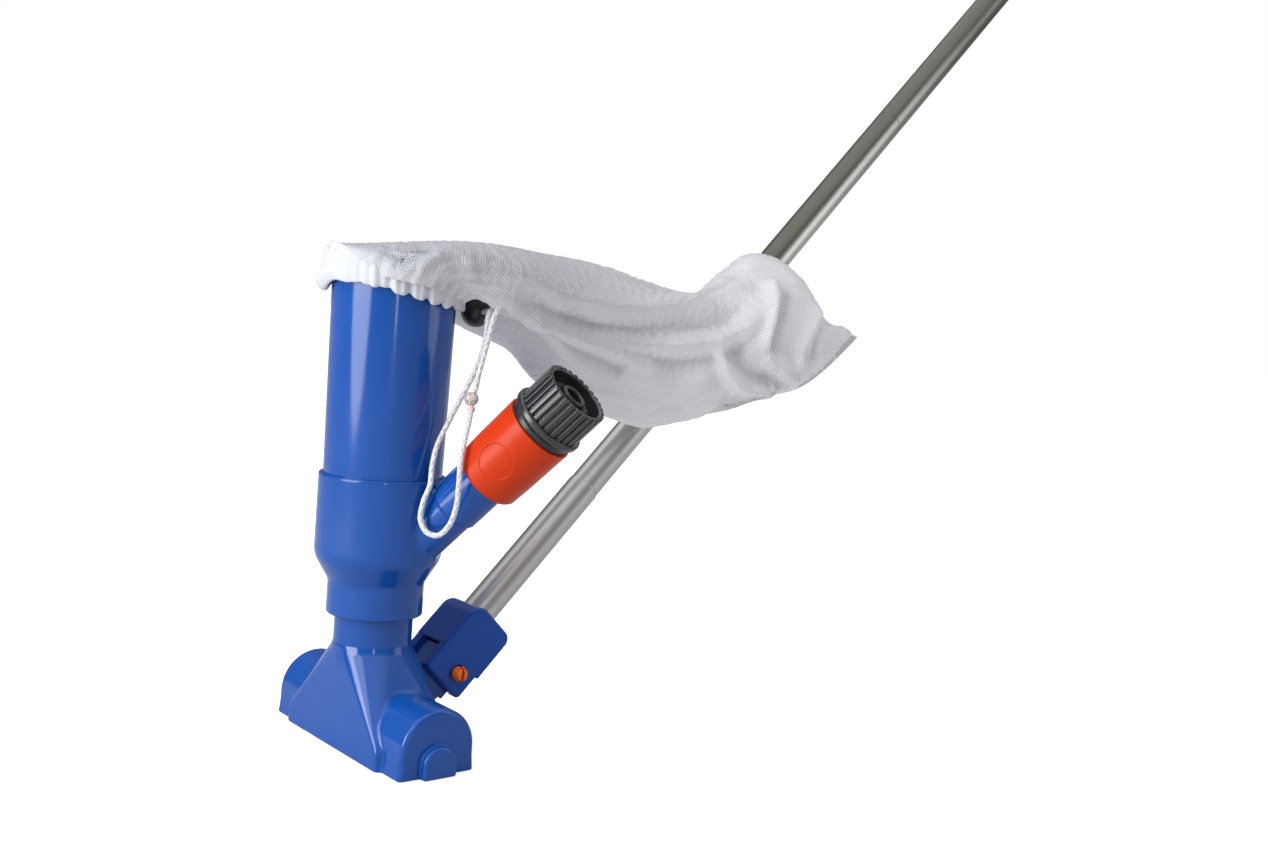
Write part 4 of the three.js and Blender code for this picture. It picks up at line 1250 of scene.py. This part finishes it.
hem_points = hem_rings()
hem_faces = grid_faces(*hem_points.shape[:2], closed=True)[:, FLIPPED]
hem = piece(
    "gathered_hem", hem_points.reshape(-1, 3), hem_faces, hem_cloth(), ["bag_hem"], slot="hem_fabric", sharp=0
)


def end_seam():
    """The doubled, sewn edge that closes the bag, with a row of stitches along it."""
    p = bag_rows() / MM
    near = np.arange(-2, ROUND // 2 + 3) % ROUND
    shift = ROUND // 4
    line = np.roll(p[-1], shift, 0)[near]
    inner = np.roll(p[-6], shift, 0)[near]
    back = unit(inner - line)
    flat = np.cross(unit(np.gradient(line, axis=0)), back)
    rings = []
    for k, (c, b, f) in enumerate(zip(line, back, flat)):
        stitch = 0.18 * math.sin(k * 1.9)
        ring = []
        for turn in np.linspace(0, math.tau, 14, endpoint=False):
            across, thick = math.cos(turn), math.sin(turn)
            groove = 1 - 0.45 * math.exp(-(((across - 0.1) / 0.3) ** 2))
            ring.append(c + b * (2.1 + 2.5 * across) + f * (0.95 + stitch) * groove * thick)
        rings.append(ring)
    rings = np.array(rings)
    count, around = rings.shape[:2]
    faces = grid_faces(count, around)[:, FLIPPED].tolist()
    faces += [tuple(range(around)), tuple(range(count * around - 1, (count - 1) * around - 1, -1))]
    return rings.reshape(-1, 3), faces


seam = piece("end_seam", *end_seam(), bag_cloth, sharp=0)
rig.sheet(
    bag, flat=(0.142, 0.33), held="draped", rests_on=["discharge_tube", "pole_section_2"], with_pieces=[hem, seam]
)


# ---- inner pieces kept from CAD
KEPT = {
    "neck_seal": rubber, "nipple_seal": rubber, "jet_ring": grey, "inlet_nipple": black, "claw_ring": white,
    "hose_collet": black,
}
for name, material in KEPT.items():
    node = frame["nodes"][name]
    node.data.materials.clear()
    node.data.materials.append(material)


# ---- floor and light
FLOOR_RADIUS, FLOOR_HEIGHT = 18, -0.0002


def floor_paint():
    """Matt white paper that reaches full white in the picture and throws little light back up."""
    m = Nodes("floor")
    seen = m.add("ShaderNodeLightPath").outputs["Is Camera Ray"]
    cloud = m.noise(m.place(), 3.0)
    pale = m.mix(cloud, (0.86, 0.86, 0.86, 1), (0.9, 0.9, 0.9, 1))
    m.set(Base_Color=m.mix(seen, (0.56, 0.56, 0.56, 1), pale), Roughness=0.85, Specular_IOR_Level=0.1)
    m.set(Emission_Color=(1, 1, 1, 1), Emission_Strength=m.times(seen, 0.5))
    return m.material


turns = np.linspace(0, math.tau, 64, endpoint=False)
rim = np.array([(FLOOR_RADIUS * math.cos(a), FLOOR_RADIUS * math.sin(a), FLOOR_HEIGHT) for a in turns])
floor = add_object("floor", new_mesh("floor", rim, [tuple(range(len(rim)))]))
floor.data.materials.append(floor_paint())
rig.stage(floor)

AIM = Vector((0.02, 0.06, 0.14))


def panel(name, azimuth, height, distance, size, power, shape="RECTANGLE"):
    """A soft light. Azimuth is in degrees from +X towards +Y."""
    data = bpy.data.lights.new(name, "AREA")
    data.shape, data.size, data.size_y = shape, size[0], size[1]
    data.energy = power
    light = add_object(name, data)
    a = math.radians(azimuth)
    light.location = Vector((AIM.x + distance * math.cos(a), AIM.y + distance * math.sin(a), height))
    light.rotation_euler = (AIM - light.location).to_track_quat("-Z", "Y").to_euler()


panel("key", -90, 0.93, 1.6, (1.0, 1.6), 19)
panel("low_key", -92, 0.27, 0.8, (0.54, 0.42), 3.7, shape="ELLIPSE")
panel("front_strip", -26, 0.8, 2.2, (0.08, 1.5), 5)
panel("right_panel", 50, 0.6, 1.6, (0.7, 1.1), 4.2)


def studio_world():
    """White to the camera. For everything else, bright overhead and dim round the horizon."""
    world = bpy.context.scene.world = bpy.data.worlds.new("studio")
    m = Nodes("studio", world)
    height = m.parts(m.add("ShaderNodeTexCoord").outputs["Generated"])[2]
    sky = {"Value": height, "From Min": 0.45, "From Max": 0.9, "To Min": 0.2, "To Max": 1.5}
    around = m.tree.nodes["Background"]
    m.put(around.inputs["Color"], (1, 1, 1, 1))
    m.put(around.inputs["Strength"], m.add("ShaderNodeMapRange", sky, interpolation_type="SMOOTHSTEP").outputs[0])
    seen = m.add("ShaderNodeBackground", {"Color": (1, 1, 1, 1)}).outputs[0]
    rays = m.add("ShaderNodeLightPath").outputs["Is Camera Ray"]
    choice = m.add("ShaderNodeMixShader", {0: rays, 1: around.outputs[0], 2: seen})
    m.put(m.tree.nodes["World Output"].inputs["Surface"], choice.outputs[0])


studio_world()
bpy.context.scene.view_settings.view_transform = "Standard"

with open("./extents.json", "w") as out:
    out.write(str({"cad": [list(v) for v in CAD_BOX], "visual": [list(v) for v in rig.bounds()]}).replace("'", '"'))
